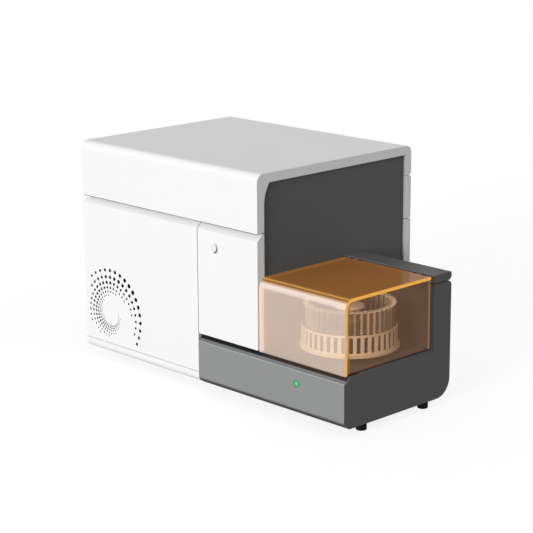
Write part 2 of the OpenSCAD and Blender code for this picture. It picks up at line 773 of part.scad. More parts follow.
module photomultipliers() {
    color("gray") for (i = [0:detector_count - 1]) for (side = [-1, 1])
        translate([detector_x0 + 17.5 + i * detector_pitch, cell[1], beam_z])
            rotate([-90 * side, 0, 0]) {
                translate([0, 0, 18 + seat]) cylinder(r = 10.5, h = 38);
                translate([0, 0, 18 + seat + 38 - eps]) cylinder(r = 8, h = 10);
            }
}

// ---- Fluidics and electronics ----

module fluidics_panel() {
    color("silver") difference() {
        block([34, panel_y, floor_t + seat], [door_split - 6, panel_y + 2, bench_z - 24]);
        rod_y_dir(pump[0], pump[1], 8, panel_y - 1, panel_y + 3);
    }
}

module sheath_pump() {
    y0 = panel_y - 34;
    color("dimgray") difference() {
        union() {
            along_y(y0, panel_y - seat) polygon(round_box(pump[0] - 34, pump[1] - 34, pump[0] + 34,
                pump[1] + 34, [8, 8, 8, 8]));
            rod_y_dir(pump[0], pump[1], 7, panel_y - 2, panel_y + 30);
        }
        difference() {
            rod_y_dir(pump[0], pump[1], pump_r, y0 - 1, y0 + 16);
            rod_y_dir(pump[0], pump[1], 3, y0, y0 + 17);
        }
        for (side = [-1, 1]) translate([pump[0] + side * (pump_r - 2.5), 0, 0])
            block([-3, y0 - 1, pump[1] - 40], [3, y0 + 12, pump[1]]);
    }
}

module pump_rotor() {
    y0 = panel_y - 34;
    color("lightgray") difference() {
        union() {
            rod_y_dir(pump[0], pump[1], 8, y0 + 1, y0 + 15.5);
            for (y = [y0 + 1, y0 + 12.5]) rod_y_dir(pump[0], pump[1], 15.5, y, y + 3);
            for (a = [0:90:270]) rod_y_dir(pump[0] + 13 * cos(a), pump[1] + 13 * sin(a), 5.5,
                y0 + 3.5, y0 + 13);
        }
        rod_y_dir(pump[0], pump[1], 3 + run, y0 - 1, y0 + 17);
    }
}

module syringe_drive() {
    color("lightslategray") difference() {
        union() {
            block([syringe[0] - 22, syringe[1] + 16, 20], [syringe[0] + 22, panel_y - seat, 200]);
            block([syringe[0] - 14, syringe[1] - 12, syringe_z[1] + seat],
                [syringe[0] + 14, syringe[1] + 16 + eps, syringe_z[1] + 10]);
            block([syringe[0] - 14, syringe[1] - 12, syringe_z[0] + 3],
                [syringe[0] + 14, syringe[1] + 16 + eps, syringe_z[0] + 10]);
        }
        translate([syringe[0], syringe[1], syringe_z[0]]) cylinder(r = syringe_r + 0.2, h = 20);
        translate([syringe[0], syringe[1], syringe_z[1] - 1]) cylinder(r = 1.2, h = 20);
    }
}

module syringe_barrel() {
    color("lightcyan") difference() {
        translate([syringe[0], syringe[1], syringe_z[0]])
            cylinder(r = syringe_r, h = syringe_z[1] - syringe_z[0]);
        translate([syringe[0], syringe[1], syringe_z[0] - 1])
            cylinder(r = syringe_r - 1.4, h = syringe_z[1] - syringe_z[0] - 2);
        translate([syringe[0], syringe[1], syringe_z[0]]) cylinder(r = 1.2, h = 100);
    }
}

module syringe_plunger() {
    rod_z = syringe_z[0] - plunger_travel - 15;
    color("white") {
        translate([syringe[0], syringe[1], syringe_z[0] + 2]) cylinder(r = syringe_r - 1.4 - run, h = 8);
        translate([syringe[0], syringe[1], rod_z]) cylinder(r = 2.5, h = syringe_z[0] + 3 - rod_z);
        block([syringe[0] - 12, syringe[1] - 8, rod_z - 10], [syringe[0] + 12, syringe[1] + 15.5, rod_z + eps]);
    }
}

module pinch_valves() {
    color("steelblue") for (x = valve_x) difference() {
        union() {
            rod_y_dir(x, valve_z, 12, panel_y - 26, panel_y - seat);
            block([x - 7, panel_y - 36, valve_z - 10], [x + 7, panel_y - 26 + eps, valve_z + 10]);
        }
        block([x - 1.8, panel_y - 37, valve_z - 12], [x + 1.8, panel_y - 31, valve_z + 12]);
    }
}

module sheath_filter() {
    color("aliceblue") {
        translate([filter_at[0], filter_at[1], filter_z]) rotate_extrude() polygon([[0, -14], [3, -14],
            [3, -4], [filter_r - 5, 0], [filter_r, 6], [filter_r, 74], [filter_r - 5, 80],
            [3, 84], [3, 94], [0, 94]]);
        block([filter_at[0] - 8, filter_at[1] + 10, filter_z + 24],
            [filter_at[0] + 8, panel_y - seat, filter_z + 56]);
    }
}

// Points of the tubing between its fittings, chosen by hand
hose_r = 1.6;
hose_routes = [
    [[170, 47, 140.4], [170, 47, 147], [160, 44, 150], [140, 41, 146], [118, 40, 144],
        [76, 42, 144], [69, 44, 149], [68.5, 45, 158], [68.5, 45, 188]],
    [[111.5, 45, 188], [111.5, 45, 158], [114, 45, 150], [124, 44, 150], [138, 40, 156],
        [147, 38, 164], [150, 37.5, 174], [150, 37.5, 240], [150, 37.5, 296], [152, 41, 320],
        [162, 56, 334], [185, 110, 340], [208, 190, 344], [220, 260, 348], [225, 296, 352],
        [226, 309, 348], [226, 310, 338.8]],
    [[268, 44, 192.4], [268, 44, 200], [262, 44, 208], [250, 43, 214], [232, 40, 220],
        [220, 38, 221], [214, 37.5, 214], [214, 37.5, 150], [213, 40, 110], [210, 48, 84],
        [206, 58, 75], [205, 63, 74], [205, 70.4, 74]],
    [[182, 70.4, 232], [182, 55, 232], [182, 42, 228], [182, 37.5, 220], [182, 37.5, 180],
        [182, 42, 168], [182, 55, 162], [182, 63, 161], [182, 70.4, 161]],
    [[170, 47, 31.6], [170, 48, 27], [167, 52, 24], [156, 58, 22], [150, 63, 22], [149, 70.4, 22]]];

function norm3(v) = v / norm(v);
function direction(p, i) = norm3(
    (i < len(p) - 1 ? p[i + 1] : p[i]) - (i > 0 ? p[i - 1] : p[i]));
function ring_points(p, i, r, n) =
    let (d = direction(p, i), u = norm3(cross(d, [0.05, 1, 0.02])), v = cross(d, u))
    [for (k = [0:n - 1]) p[i] + r * (cos(360 * k / n) * u + sin(360 * k / n) * v)];
module hose(p, r, n = 8) {
    polyhedron(
        points = [for (i = [0:len(p) - 1]) for (q = ring_points(p, i, r, n)) q],
        faces = concat([[for (k = [0:n - 1]) k]],
            [for (i = [0:len(p) - 2]) for (k = [0:n - 1])
                [i * n + k, (i + 1) * n + k, (i + 1) * n + (k + 1) % n, i * n + (k + 1) % n]],
            [[for (k = [n - 1:-1:0]) (len(p) - 1) * n + k]]));
}

module fluid_tubing() {
    color("lightblue") for (route = hose_routes) hose(route, hose_r);
}

module power_supply() {
    color("silver") difference() {
        block([supply_x, 92, floor_t + seat], [supply_x + 128, supply_y, 62]);
        for (i = [0:11]) block([supply_x + 8 + i * 9.6, 110, 56],
            [supply_x + 12 + i * 9.6, supply_y - 18, 63]);
    }
}

module main_board() {
    color("seagreen") translate([supply_x, supply_y + 12, floor_t + seat]) {
        block([0, 0, 14], [112, 82, 16]);
        for (x = [6, 106]) for (y = [6, 76]) translate([x, y, 0]) cylinder(r = 3, h = 14 + eps);
        block([22, 22, 16 - eps], [52, 52, 26]);
        block([70, 12, 16 - eps], [100, 26, 24]);
        block([70, 36, 16 - eps], [82, 70, 28]);
    }
}

// ---- Autosampler ----

// Side profile of the base in (Y, Z), from the back bottom round the front to the deck
function base_line(inset) = concat(
    [[front_bay, inset]],
    arc([base_front_r - fascia_proud, base_front_r], base_front_r - inset, 270, 180),
    [[inset - fascia_proud, base_h - groove_h - inset * 0.4],
     [groove_d - fascia_proud + inset * 0.4, base_h - inset]]);

module front_fascia() {
    x1 = sam_x1 - sam_wall - 0.1;
    color("gray") difference() {
        intersection() {
            union() {
                along_x(right_x0, x1) polygon(concat(base_line(0), [[front_bay, base_h],
                    [front_bay, base_h - sam_wall]], reversed(base_line(sam_wall))));
                along_x(right_x0, right_x0 + sam_wall)
                    polygon(concat(base_line(0), [[front_bay, base_h]]));
            }
            along_y(-10, front_bay + 1) polygon(round_box(right_x0, 0, x1, base_h,
                [base_front_r, 0.2, 0.2, 5]));
        }
        rod_y_dir(light[0], light[1], light_r + 0.2, -5, 5);
        block([sam_x0 - 1, front_bay - 10, base_h - sam_wall - 1], [x1 + 1, front_bay + 1, base_h + 1]);
        block([sam_x0 - 1, front_bay - 10, -1], [x1 + 1, front_bay + 1, sam_wall + 1]);
    }
}

module status_light() {
    color("mediumseagreen") {
        rod_y_dir(light[0], light[1], light_r, -fascia_proud, sam_wall - fascia_proud + eps);
        rod_y_dir(light[0], light[1], light_r + 3, sam_wall - fascia_proud + seat,
            sam_wall - fascia_proud + 4);
        rod_y_dir(light[0], light[1], light_r, sam_wall - fascia_proud, sam_wall - fascia_proud + 1);
    }
}

module sampler_housing() {
    top = cap_seam - seam / 2;
    fascia_end = front_bay - 10 + 0.5;
    back = sam_d;
    side = concat(
        [[back - base_back_r, 0]], reversed(arc([back - base_back_r, base_back_r], base_back_r, 0, -90)),
        [[back, top - 5], [back - 5, top], [column_y, top], [column_y, base_h]],
        reversed(base_line(0)));
    color("dimgray") difference() {
        union() {
            along_x(sam_x1 - sam_wall, sam_x1) polygon(side);
            // floor and back wall
            along_x(sam_x0, sam_x1 - sam_wall + eps) polygon(concat(
                [[fascia_end, 0], [back - base_back_r, 0]],
                arc([back - base_back_r, base_back_r], base_back_r, 270, 360),
                [[back, top - 5], [back - 5, top], [back - sam_wall - 2, top],
                 [back - sam_wall, top - 6]],
                reversed(arc([back - base_back_r, base_back_r], base_back_r - sam_wall, 270, 360)),
                [[fascia_end, sam_wall]]));
            // left wall, against the cabinet
            along_x(sam_x0, sam_x0 + sam_wall) polygon([[fascia_end, 0], [back - base_back_r, 0],
                [back - 1, base_back_r], [back - 1, top], [column_y, top], [column_y, base_h - deck_t],
                [fascia_end, base_h - deck_t - seat]]);
            // front wall of the column
            block([sam_x0, column_y, base_h - deck_t], [sam_x1 - eps, column_y + sam_wall, top]);
        }
        block([arm_x - arm_w / 2 - 1, column_y - 1, arm_z - arm_travel - 4],
            [arm_x + arm_w / 2 + 1, column_y + sam_wall + 1, top + 1]);
    }
}

module column_cap() {
    z0 = cap_seam + seam / 2;
    y0 = column_y;
    back = sam_d;
    color("dimgray") difference() {
        union() {
            along_x(sam_x0, sam_x1) polygon([[y0, z0], [y0, column_h - 1.5], [y0 + 1.5, column_h],
                [back - 2, column_h], [back, column_h - 2], [back, z0 + 5], [back - 5, z0],
                [back - 5 - sam_wall, z0], [back - sam_wall, z0 + 6], [back - sam_wall, column_h - sam_wall],
                [y0 + sam_wall, column_h - sam_wall], [y0 + sam_wall, z0]]);
            for (x = [sam_x0, sam_x1 - sam_wall]) along_x(x, x + sam_wall)
                polygon([[y0, z0], [y0, column_h - 1.5], [y0 + 1.5, column_h], [back - 2, column_h],
                    [back, column_h - 2], [back, z0 + 5], [back - 5, z0]]);
        }
        block([arm_x - arm_w / 2 - 1, y0 - 1, z0 - 1],
            [arm_x + arm_w / 2 + 1, y0 + sam_wall + 1, arm_z + arm_t + 1]);
    }
}

module sampler_deck() {
    color("dimgray") difference() {
        block([sam_x0 + sam_wall + seat, front_bay - 10 + 0.5, base_h - deck_t],
            [sam_x1 - sam_wall - seat, column_y - seat, base_h]);
        translate([carousel[0], carousel[1], base_h - deck_t - 1]) cylinder(r = shaft_r + 6, h = deck_t + 2);
    }
}

// ---- Cover ----

function cover_line(inset) = concat(
    [[cover_front + inset, cover_z0]],
    arc([cover_front + cover_r, cover_top - cover_r], cover_r - inset, 180, 90, 12),
    [[cover_back, cover_top - inset]]);

module sampler_cover() {
    color("orange", 0.55) difference() {
        union() {
            along_x(cover_x0, cover_x1) polygon(concat(cover_line(0), reversed(cover_line(cover_t))));
            for (x = cover_hinge_x)
                rod_x_dir(cover_axis[0], cover_axis[1], cover_knuckle_r, x - 5 + seat, x + 5 - seat);
        }
        for (x = cover_hinge_x) {
            rod_x_dir(cover_axis[0], cover_axis[1], cover_pin_r + run, x - 15, x + 15);
            for (side = [-1, 1]) translate([x + side * 10, 0, 0])
                rod_x_dir(cover_axis[0], cover_axis[1], cover_knuckle_r + 1, -5 - seat, 5 + seat);
        }
    }
}

module cover_end_panels() {
    t = cover_t + 0.1;
    color("chocolate", 0.55) for (x = [cover_x0 + end_inset, cover_x1 - end_inset - end_t]) along_x(x, x + end_t)
        polygon(concat(cover_line(t), [[cover_back, cover_z0]]));
}

module cover_hinges() {
    leaf_y = column_y - seat - 1.2;
    color("silver") for (x = cover_hinge_x) {
        rod_x_dir(cover_axis[0], cover_axis[1], cover_pin_r, x - 15, x + 15);
        for (side = [-1, 1]) translate([x + side * 10, 0, 0]) {
            rod_x_dir(cover_axis[0], cover_axis[1], cover_knuckle_r, -5, 5);
            block([-5, leaf_y, cover_axis[1] - 14], [5, leaf_y + 1.2, cover_axis[1]]);
        }
        block([x - 15, leaf_y, cover_axis[1] - 26], [x + 15, leaf_y + 1.2, cover_axis[1] - 6]);
    }
}

// ---- Carousel ----

module carousel_plate() {
    color("antiquewhite") translate([carousel[0], carousel[1], 0]) difference() {
        union() {
            translate([0, 0, plate_z]) cylinder(r = flange_r, h = plate_t, $fn = 96);
            translate([0, 0, base_h + 3]) cylinder(r = 20, h = plate_z - base_h - 3 + eps);
        }
        translate([0, 0, base_h]) cylinder(r = shaft_r, h = plate_z - base_h);
    }
}

module tube_rack() {
    pitch = 360 / tube_count;
    window = 7;
    color("antiquewhite") translate([carousel[0], carousel[1], rack_z]) {
        difference() {
            rotate_extrude($fn = 96) polygon([[0, 0], [rack_out, 0], [rack_out, rack_h],
                [rack_in, rack_h], [rack_in, rack_floor], [18, rack_floor], [18, 40], [11, 46],
                [7, 60], [10, 66], [10, 72], [0, 72]]);
            for (i = [0:tube_count - 1]) rotate([0, 0, 90 + i * pitch]) {
                translate([ring_r, 0, rack_floor]) cylinder(r = tube_r + 0.15, h = rack_h, $fn = 24);
                block([ring_r, -window / 2, rack_floor + 1], [rack_out + 2, window / 2, rack_h - 4]);
            }
        }
    }
}

module sample_tube() {
    r = tube_r;
    i = tube_r - tube_wall;
    rotate_extrude($fn = 24) polygon([[0, 0], [r * 0.5, r * 0.14], [r * 0.87, r * 0.5], [r, r],
        [r, tube_len], [i, tube_len], [i, r], [i * 0.85, r * 0.62], [i * 0.5, r * 0.3], [0, r * 0.18]]);
}

module sample_tubes() {
    color("white", 0.6) for (i = [0:tube_count - 1])
        translate([carousel[0], carousel[1], tube_z]) rotate([0, 0, 90 + i * 360 / tube_count])
            translate([ring_r, 0, 0]) sample_tube();
}

module carousel_shaft() {
    color("silver") translate([carousel[0], carousel[1], base_h - 50])
        cylinder(r = shaft_r - 0.05, h = plate_z - base_h + 50 - seat);
}

module carousel_motor() {
    m = motor_size / 2;
    top = base_h - deck_t - seat;
    color("dimgray") difference() {
        union() {
            along_z_box(carousel[0] - m, carousel[1] - m, carousel[0] + m, carousel[1] + m, top - 76, top - 14);
            translate([carousel[0], carousel[1], top - 14 - eps]) cylinder(r = 18, h = 14);
        }
        translate([carousel[0], carousel[1], top - 60]) cylinder(r = shaft_r + 0.02, h = 70);
    }
}

// A block with cut corners, standing between two heights
module along_z_box(x0, y0, x1, y1, z0, z1) {
    c = 5;
    translate([0, 0, z0]) linear_extrude(z1 - z0) polygon([[x0 + c, y0], [x1 - c, y0], [x1, y0 + c],
        [x1, y1 - c], [x1 - c, y1], [x0 + c, y1], [x0, y1 - c], [x0, y0 + c]]);
}

// ---- Sampling arm ----

module sampling_arm() {
    color("dimgray") difference() {
        union() {
            block([arm_x - 18, rod_y - 8, arm_z - 18], [arm_x + 18, screw_y + 8, arm_z + arm_t]);
            block([arm_x - arm_w / 2, needle_y - 4, arm_z], [arm_x + arm_w / 2, rod_y - 8 + eps, arm_z + arm_t]);
            translate([arm_x, screw_y, arm_z - 150]) cylinder(r = screw_r, h = 140);
        }
        for (side = [-1, 1]) translate([arm_x + side * rod_dx, rod_y, arm_z - 20])
            cylinder(r = rod_r + run, h = 40);
        translate([arm_x, needle_y, arm_z - 1]) cylinder(r = 0.85, h = arm_t + 2);
    }
}

module sampling_needle() {
    tip = tube_z + tube_len + 4;
    color("silver") translate([arm_x, needle_y, tip]) difference() {
        cylinder(r = 0.8, h = arm_z + arm_t - tip);
        translate([0, 0, -1]) cylinder(r = 0.4, h = arm_z + arm_t - tip + 2);
    }
}

module arm_guides() {
    z0 = arm_z - 18 - arm_travel - 20;
    color("silver") difference() {
        union() {
            block([arm_x - 22, rod_y - 10, z0], [arm_x + 22, sam_d - sam_wall - seat, z0 + 12]);
            block([arm_x - 17, rod_y - 6, z0 - 36], [arm_x + 17, screw_y + 10, z0 + eps]);
            for (side = [-1, 1]) translate([arm_x + side * rod_dx, rod_y, z0 + 2])
                cylinder(r = rod_r, h = arm_z + arm_t - z0 + 3);
            block([arm_x - 18, rod_y - 6, arm_z + arm_t + 2.5], [arm_x + 18, rod_y + 6, column_h - sam_wall - seat]);
        }
        translate([arm_x, screw_y, z0 - 40]) cylinder(r = screw_r + 0.2, h = 60);
    }
}

place() chassis_tray();
place() chassis_frame();
place() left_side_panel();
place() right_side_panel();
place() front_trim();
place() right_front_panel();
place() rear_upper_panel();
place() rear_lower_panel();
place() rear_io_plate();
place() top_lid();
place() lid_hinges();
place() left_door();
place() vent_filter();
place() door_hinge_pins();
place() power_button();
place() power_switch();
place() fan_guard();
place() fan_frame();
place() fan_rotor();
place() mains_inlet();
place() mains_rocker();
place() data_ports();
place() fluid_ports();
place() feet();
place() optical_bench();
place() laser_modules();
place() beam_mirrors();
place() focusing_lens();
place() flow_cell_block();
place() flow_cell();
place() collection_lens();
place() detector_block();
place() photomultipliers();
place() fluidics_panel();
place() sheath_pump();
place() pump_rotor();
place() syringe_barrel();
place() syringe_plunger();
place() syringe_drive();
place() pinch_valves();
place() sheath_filter();
place() fluid_tubing();
place() power_supply();
place() main_board();
place() front_fascia();
place() status_light();
place() sampler_housing();
place() sampler_deck();
place() column_cap();
place() sampler_cover();
place() cover_end_panels();
place() cover_hinges();
place() carousel_plate();
place() tube_rack();
place() sample_tubes();
place() carousel_shaft();
place() carousel_motor();
place() sampling_arm();
place() sampling_needle();
place() arm_guides();
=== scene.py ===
"""Benchtop flow cytometer with a carousel autosampler: its finishes, small parts and studio."""
import math

import bpy
import numpy as np
from mathutils import Matrix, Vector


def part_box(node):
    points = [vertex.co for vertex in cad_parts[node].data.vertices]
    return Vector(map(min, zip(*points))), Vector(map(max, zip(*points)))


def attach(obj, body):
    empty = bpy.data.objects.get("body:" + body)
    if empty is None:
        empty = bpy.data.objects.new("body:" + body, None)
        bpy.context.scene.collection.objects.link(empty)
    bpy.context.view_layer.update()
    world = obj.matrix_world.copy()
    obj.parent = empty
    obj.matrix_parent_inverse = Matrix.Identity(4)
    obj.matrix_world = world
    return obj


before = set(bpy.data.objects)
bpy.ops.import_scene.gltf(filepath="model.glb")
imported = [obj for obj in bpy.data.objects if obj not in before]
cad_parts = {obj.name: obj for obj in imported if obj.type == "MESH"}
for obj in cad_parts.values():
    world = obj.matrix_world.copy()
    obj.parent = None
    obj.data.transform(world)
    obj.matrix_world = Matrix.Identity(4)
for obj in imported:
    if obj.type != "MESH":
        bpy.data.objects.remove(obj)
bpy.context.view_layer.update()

bl_info = {
    "name": "Flow cytometer",
    "version": (1, 0, 0),
    "blender": (4, 5, 0),
    "location": "3D View > Sidebar > Cytometer",
    "description": "Dresses the flow cytometer's frame with its finishes, small parts and studio",
    "category": "Object",
}

MM = 0.001
# Lower left front corner of the cabinet, from which the places below are given in millimetres
CORNER = np.array([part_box("top_lid")[0][0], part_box("top_lid")[0][1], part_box("chassis_tray")[0][2]])
# Middles of the feet, in millimetres from that corner
FEET = ((45, 57), (45, 360), (455, 57), (455, 360), (703, 57), (703, 222.4))
# Outer radius of the amber cover's bend
COVER_BEND = 19 * MM
# Edges that turn by more than this stay sharp
SHARP_FROM = math.radians(32)
# How far the mains inlet's face stands behind the connector plate's inner side
INLET_FACE = 5.3 * MM


def at(x, y, z):
    """A place given in millimetres from the cabinet's corner, in metres in the frame."""
    return CORNER + np.array([x, y, z], float) * MM


def middle(node):
    """The middle of a solid's box."""
    low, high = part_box(node)
    return (np.array(low) + np.array(high)) / 2


# ---- Colours, nodes and meshes ----

def to_linear(code):
    """A "#rrggbb" colour as linear red, green, blue and alpha."""
    srgb = [int(code[i:i + 2], 16) / 255 for i in (1, 3, 5)]
    return tuple(c / 12.92 if c <= 0.04045 else ((c + 0.055) / 1.055) ** 2.4 for c in srgb) + (1.0,)


def add(tree, kind, values=None, links=(), stops=()):
    """Adds a node. A lower-case key is a setting, any other is a socket's name or number; a link is
    (input, node it comes from, output); stops are a colour ramp's places and colours or levels.
    By number, a Map Range takes 1 to 2 over to 3 to 4, and a Mix has its colours in 6 and 7."""
    node = tree.nodes.new(kind)
    for key, value in (values or {}).items():
        if isinstance(key, str) and key[0].islower():
            setattr(node, key, value)
        else:
            node.inputs[key].default_value = value
    for socket, source, output in links:
        tree.links.new(source.outputs[output], node.inputs[socket])
    if stops:
        marks = node.color_ramp.elements
        marks[0].position, marks[1].position = stops[0][0], stops[-1][0]
        for place, _ in stops[1:-1]:
            marks.new(place)
        for mark, (_, value) in zip(marks, stops):
            mark.color = to_linear(value) if isinstance(value, str) else (value, value, value, 1.0)
    return node


def shade(code, factor):
    """A colour, "#rrggbb" or linear red, green and blue, made lighter or darker by a factor."""
    linear = to_linear(code) if isinstance(code, str) else code
    return tuple(min(1.0, level * factor) for level in linear[:3]) + (1.0,)


def mesh_piece(name, parts, material, body, smooth=True):
    """One object from (points, faces) parts, in metres. It rides on a body and takes a slot's
    finish."""
    points, faces, start = [], [], 0
    for part_points, part_faces in parts:
        points.append(part_points)
        faces += [tuple(int(i) + start for i in f) for f in part_faces]
        start += len(part_points)
    mesh = bpy.data.meshes.new(name)
    mesh.from_pydata(np.concatenate(points).tolist(), [], faces)
    mesh.update()
    if smooth:
        mesh.polygons.foreach_set("use_smooth", [True] * len(mesh.polygons))
        mesh.set_sharp_from_angle(angle=SHARP_FROM)
    piece = bpy.data.objects.new(name, mesh)
    bpy.context.scene.collection.objects.link(piece)
    piece.data.materials.append(bpy.data.materials[material])
    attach(piece, body)


def frame_of(axis):
    """Two directions square to an axis, so that the three make a right-handed set."""
    w = np.array(axis, float)
    w = w / np.linalg.norm(w)
    u = np.cross([0.0, 0.0, 1.0], w) if abs(w[2]) < 0.9 else np.array([1.0, 0.0, 0.0])
    u = u / np.linalg.norm(u)
    return u, np.cross(w, u), w


def tube_skin(rings):
    """Quads between closed rings of points (ring, step, xyz), closed by a fan at each end."""
    k, n, _ = rings.shape
    i, j = np.meshgrid(np.arange(k - 1), np.arange(n), indexing="ij")
    a, b = i * n + j, i * n + (j + 1) % n
    quads = np.stack([a, b, b + n, a + n], -1).reshape(-1, 4)
    points = np.concatenate([rings.reshape(-1, 3), rings[0].mean(0)[None], rings[-1].mean(0)[None]])
    step = np.arange(n)
    low = np.stack([(step + 1) % n, step, np.full(n, k * n)], -1)
    high = np.stack([(k - 1) * n + step, (k - 1) * n + (step + 1) % n, np.full(n, k * n + 1)], -1)
    return points, quads.tolist() + low.tolist() + high.tolist()


def turned(profile, centre, axis, steps=24, lobes=None):
    """A turned part: at each height h along the axis a ring of radius r, from (r, h) pairs in
    metres. Rings listed in lobes are the outline of a hexagonal socket instead of a circle."""
    u, v, w = frame_of(axis)
    t = np.arange(steps) * 2 * np.pi / steps
    hexagon = np.cos(np.pi / 6) / np.cos((t + np.pi / 6) % (np.pi / 3) - np.pi / 6)
    rings = []
    for row, (r, h) in enumerate(profile):
        radius = r * (hexagon if lobes and row in lobes else np.ones(steps))
        rings.append(np.array(centre) + np.outer(radius * np.cos(t), u)
                     + np.outer(radius * np.sin(t), v) + h * w)
    return tube_skin(np.array(rings))


def swept(path, outline):
    """An outline (n, 2) carried along a path (k, 3): at each point it stands square to the path."""
    path = np.asarray(path, float)
    along = np.gradient(path, axis=0)
    along /= np.linalg.norm(along, axis=1)[:, None]
    side = np.cross(along, [0.0, 0.0, 1.0])
    flat = np.linalg.norm(side, axis=1) < 1e-6
    side[flat] = [1.0, 0.0, 0.0]
    side /= np.linalg.norm(side, axis=1)[:, None]
    up = np.cross(side, along)
    across, over = outline[None, :, :1], outline[None, :, 1:]
    rings = path[:, None] + across * side[:, None] + over * up[:, None]
    return tube_skin(rings[:, ::-1])


def rounded(width, height, radius, steps=5):
    """The outline of a rectangle with round corners: each corner is a quarter circle."""
    a = np.linspace(0, np.pi / 2, steps)
    rows = []
    for k, (sx, sy) in enumerate(((1, 1), (-1, 1), (-1, -1), (1, -1))):
        t = a + k * np.pi / 2
        rows.append(np.stack([sx * (width / 2 - radius) + radius * np.cos(t),
                              sy * (height / 2 - radius) + radius * np.sin(t)], -1))
    return np.concatenate(rows)


def slab(low, high, radius=0.0003, steps=3):
    """A block between two corners with its upright edges rounded and its top and bottom broken:
    a rounded outline drawn in by the radius at both ends."""
    low, high = np.array(low, float), np.array(high, float)
    centre, size = (low + high) / 2, high - low
    radius = min(radius, size.min() * 0.45)
    rows = []
    for z, inset in ((low[2], radius), (low[2] + radius, 0), (high[2] - radius, 0),
                     (high[2], radius)):
        corner = max(radius - inset * 0.5, 1e-5)
        ring = rounded(size[0] - 2 * inset, size[1] - 2 * inset, corner, steps)
        rows.append(np.column_stack([ring + centre[:2], np.full(len(ring), z)]))
    return tube_skin(np.array(rows))


# ---- Finishes ----

def start_finish(name):
    """A new material with an empty tree, its output, and Object coordinates in metres."""
    material = bpy.data.materials.new(name)
    material.use_nodes = True
    tree = material.node_tree
    tree.nodes.clear()
    out = add(tree, "ShaderNodeOutputMaterial")
    return tree, out, add(tree, "ShaderNodeTexCoord")


def lumps(tree, place, size_mm, detail, stretch=(1, 1, 1)):
    """Soft random lumps whose largest are about size_mm across, drawn out along the axes in
    stretch."""
    scaled = add(tree, "ShaderNodeMapping", {"Scale": [1 / (size_mm * MM * s) for s in stretch]},
                 [("Vector", place, "Object")])
    return add(tree, "ShaderNodeTexNoise", {"Scale": 1.0, "Detail": detail},
               [("Vector", scaled, "Vector")])


def along(tree, place, output, axis, low, high, first=0.0, last=1.0):
    """A level that goes from first to last while the point (output Object) or the direction of its
    face (output Normal) goes from low to high along an axis."""
    axes = add(tree, "ShaderNodeSeparateXYZ", links=[(0, place, output)])
    return add(tree, "ShaderNodeMapRange", {1: low, 2: high, 3: first, 4: last}, [(0, axes, axis)])


def together(tree, operation, *levels):
    """Levels joined one by one: MULTIPLY is 1 where all of them are 1, MAXIMUM where one is."""
    total = levels[0]
    for level in levels[1:]:
        total = add(tree, "ShaderNodeMath", {"operation": operation},
                    [(0, total, 0), (1, level, 0)])
    return total


def painted(tree, colour, code, *masks):
    """The colour so far, painted over with a second one where every mask is 1."""
    return add(tree, "ShaderNodeMix", {"data_type": "RGBA", 7: to_linear(code)},
               [(0, together(tree, "MULTIPLY", *masks), 0), (6, colour, 2)])


def solid(name, code, rough, grain_mm, grain_high, mottle_mm, mottle, edge_mm, metallic=0.0,
          specular=0.5, stretch=(1, 1, 1), pattern=None):
    """An opaque finish: slow mottling in the colour, roughness that drifts by a tenth, a fine bump
    of grain_high mm, and edges broken to edge_mm."""
    tree, out, place = start_finish(name)
    slow = lumps(tree, place, mottle_mm, 2.0)
    colour = add(tree, "ShaderNodeMix", {"data_type": "RGBA", 6: shade(code, 1 - mottle),
                                         7: shade(code, 1 + mottle)}, [(0, slow, 0)])
    if pattern:
        colour = pattern(tree, place, colour)
    fine = lumps(tree, place, grain_mm, 4.0, stretch)
    drift = add(tree, "ShaderNodeMapRange",
                {1: 0.3, 2: 0.7, 3: rough * 0.9, 4: min(1.0, rough * 1.1)}, [(0, slow, 0)])
    edges = add(tree, "ShaderNodeBevel", {"samples": 4, "Radius": edge_mm * MM})
    bump = add(tree, "ShaderNodeBump", {"Strength": 1.0, "Distance": grain_high * MM},
               [("Height", fine, 0), ("Normal", edges, 0)])
    body = add(tree, "ShaderNodeBsdfPrincipled",
               {"Metallic": metallic, "Specular IOR Level": specular},
               [("Base Color", colour, 2), ("Roughness", drift, 0), ("Normal", bump, 0)])
    tree.links.new(body.outputs[0], out.inputs[0])


def grid_of_holes(pitch_mm, hole_mm, dark):
    """Tapped holes on a square grid over level faces, drawn as painted shade: dark discs where the
    distance to the nearest grid point is under the hole's radius."""
    def pattern(tree, place, colour):
        axes = add(tree, "ShaderNodeSeparateXYZ", links=[(0, place, "Object")])
        squares = []
        for axis in ("X", "Y"):
            cell = add(tree, "ShaderNodeMath", {"operation": "PINGPONG", 1: pitch_mm * MM / 2},
                       [(0, axes, axis)])
            squares.append(together(tree, "MULTIPLY", cell, cell))
        off = add(tree, "ShaderNodeMath", {"operation": "SQRT"},
                  [(0, together(tree, "ADD", *squares), 0)])
        hole = add(tree, "ShaderNodeMapRange",
                   {1: hole_mm * MM * 0.5, 2: hole_mm * MM * 0.55, 3: 1.0, 4: 0.0}, [(0, off, 0)])
        return painted(tree, colour, dark, hole, along(tree, place, "Normal", "Z", 0.9, 0.95))
    return pattern


def circuit(tree, place, colour):
    """Copper tracks under green lacquer: slightly lighter bands round Voronoi cells of 4 mm."""
    cell = 4 * MM
    scaled = add(tree, "ShaderNodeMapping", {"Scale": [1 / cell] * 3},
                 [("Vector", place, "Object")])
    cells = add(tree, "ShaderNodeTexVoronoi", {"distance": "MANHATTAN", "Scale": 1.0},
                [("Vector", scaled, "Vector")])
    lines = add(tree, "ShaderNodeMath", {"operation": "PINGPONG", 1: 0.12},
                [(0, cells, "Distance")])
    mask = add(tree, "ShaderNodeMapRange", {1: 0.05, 2: 0.06, 3: 0.0, 4: 0.8}, [(0, lines, 0)])
    return painted(tree, colour, "#3c8a55", mask)


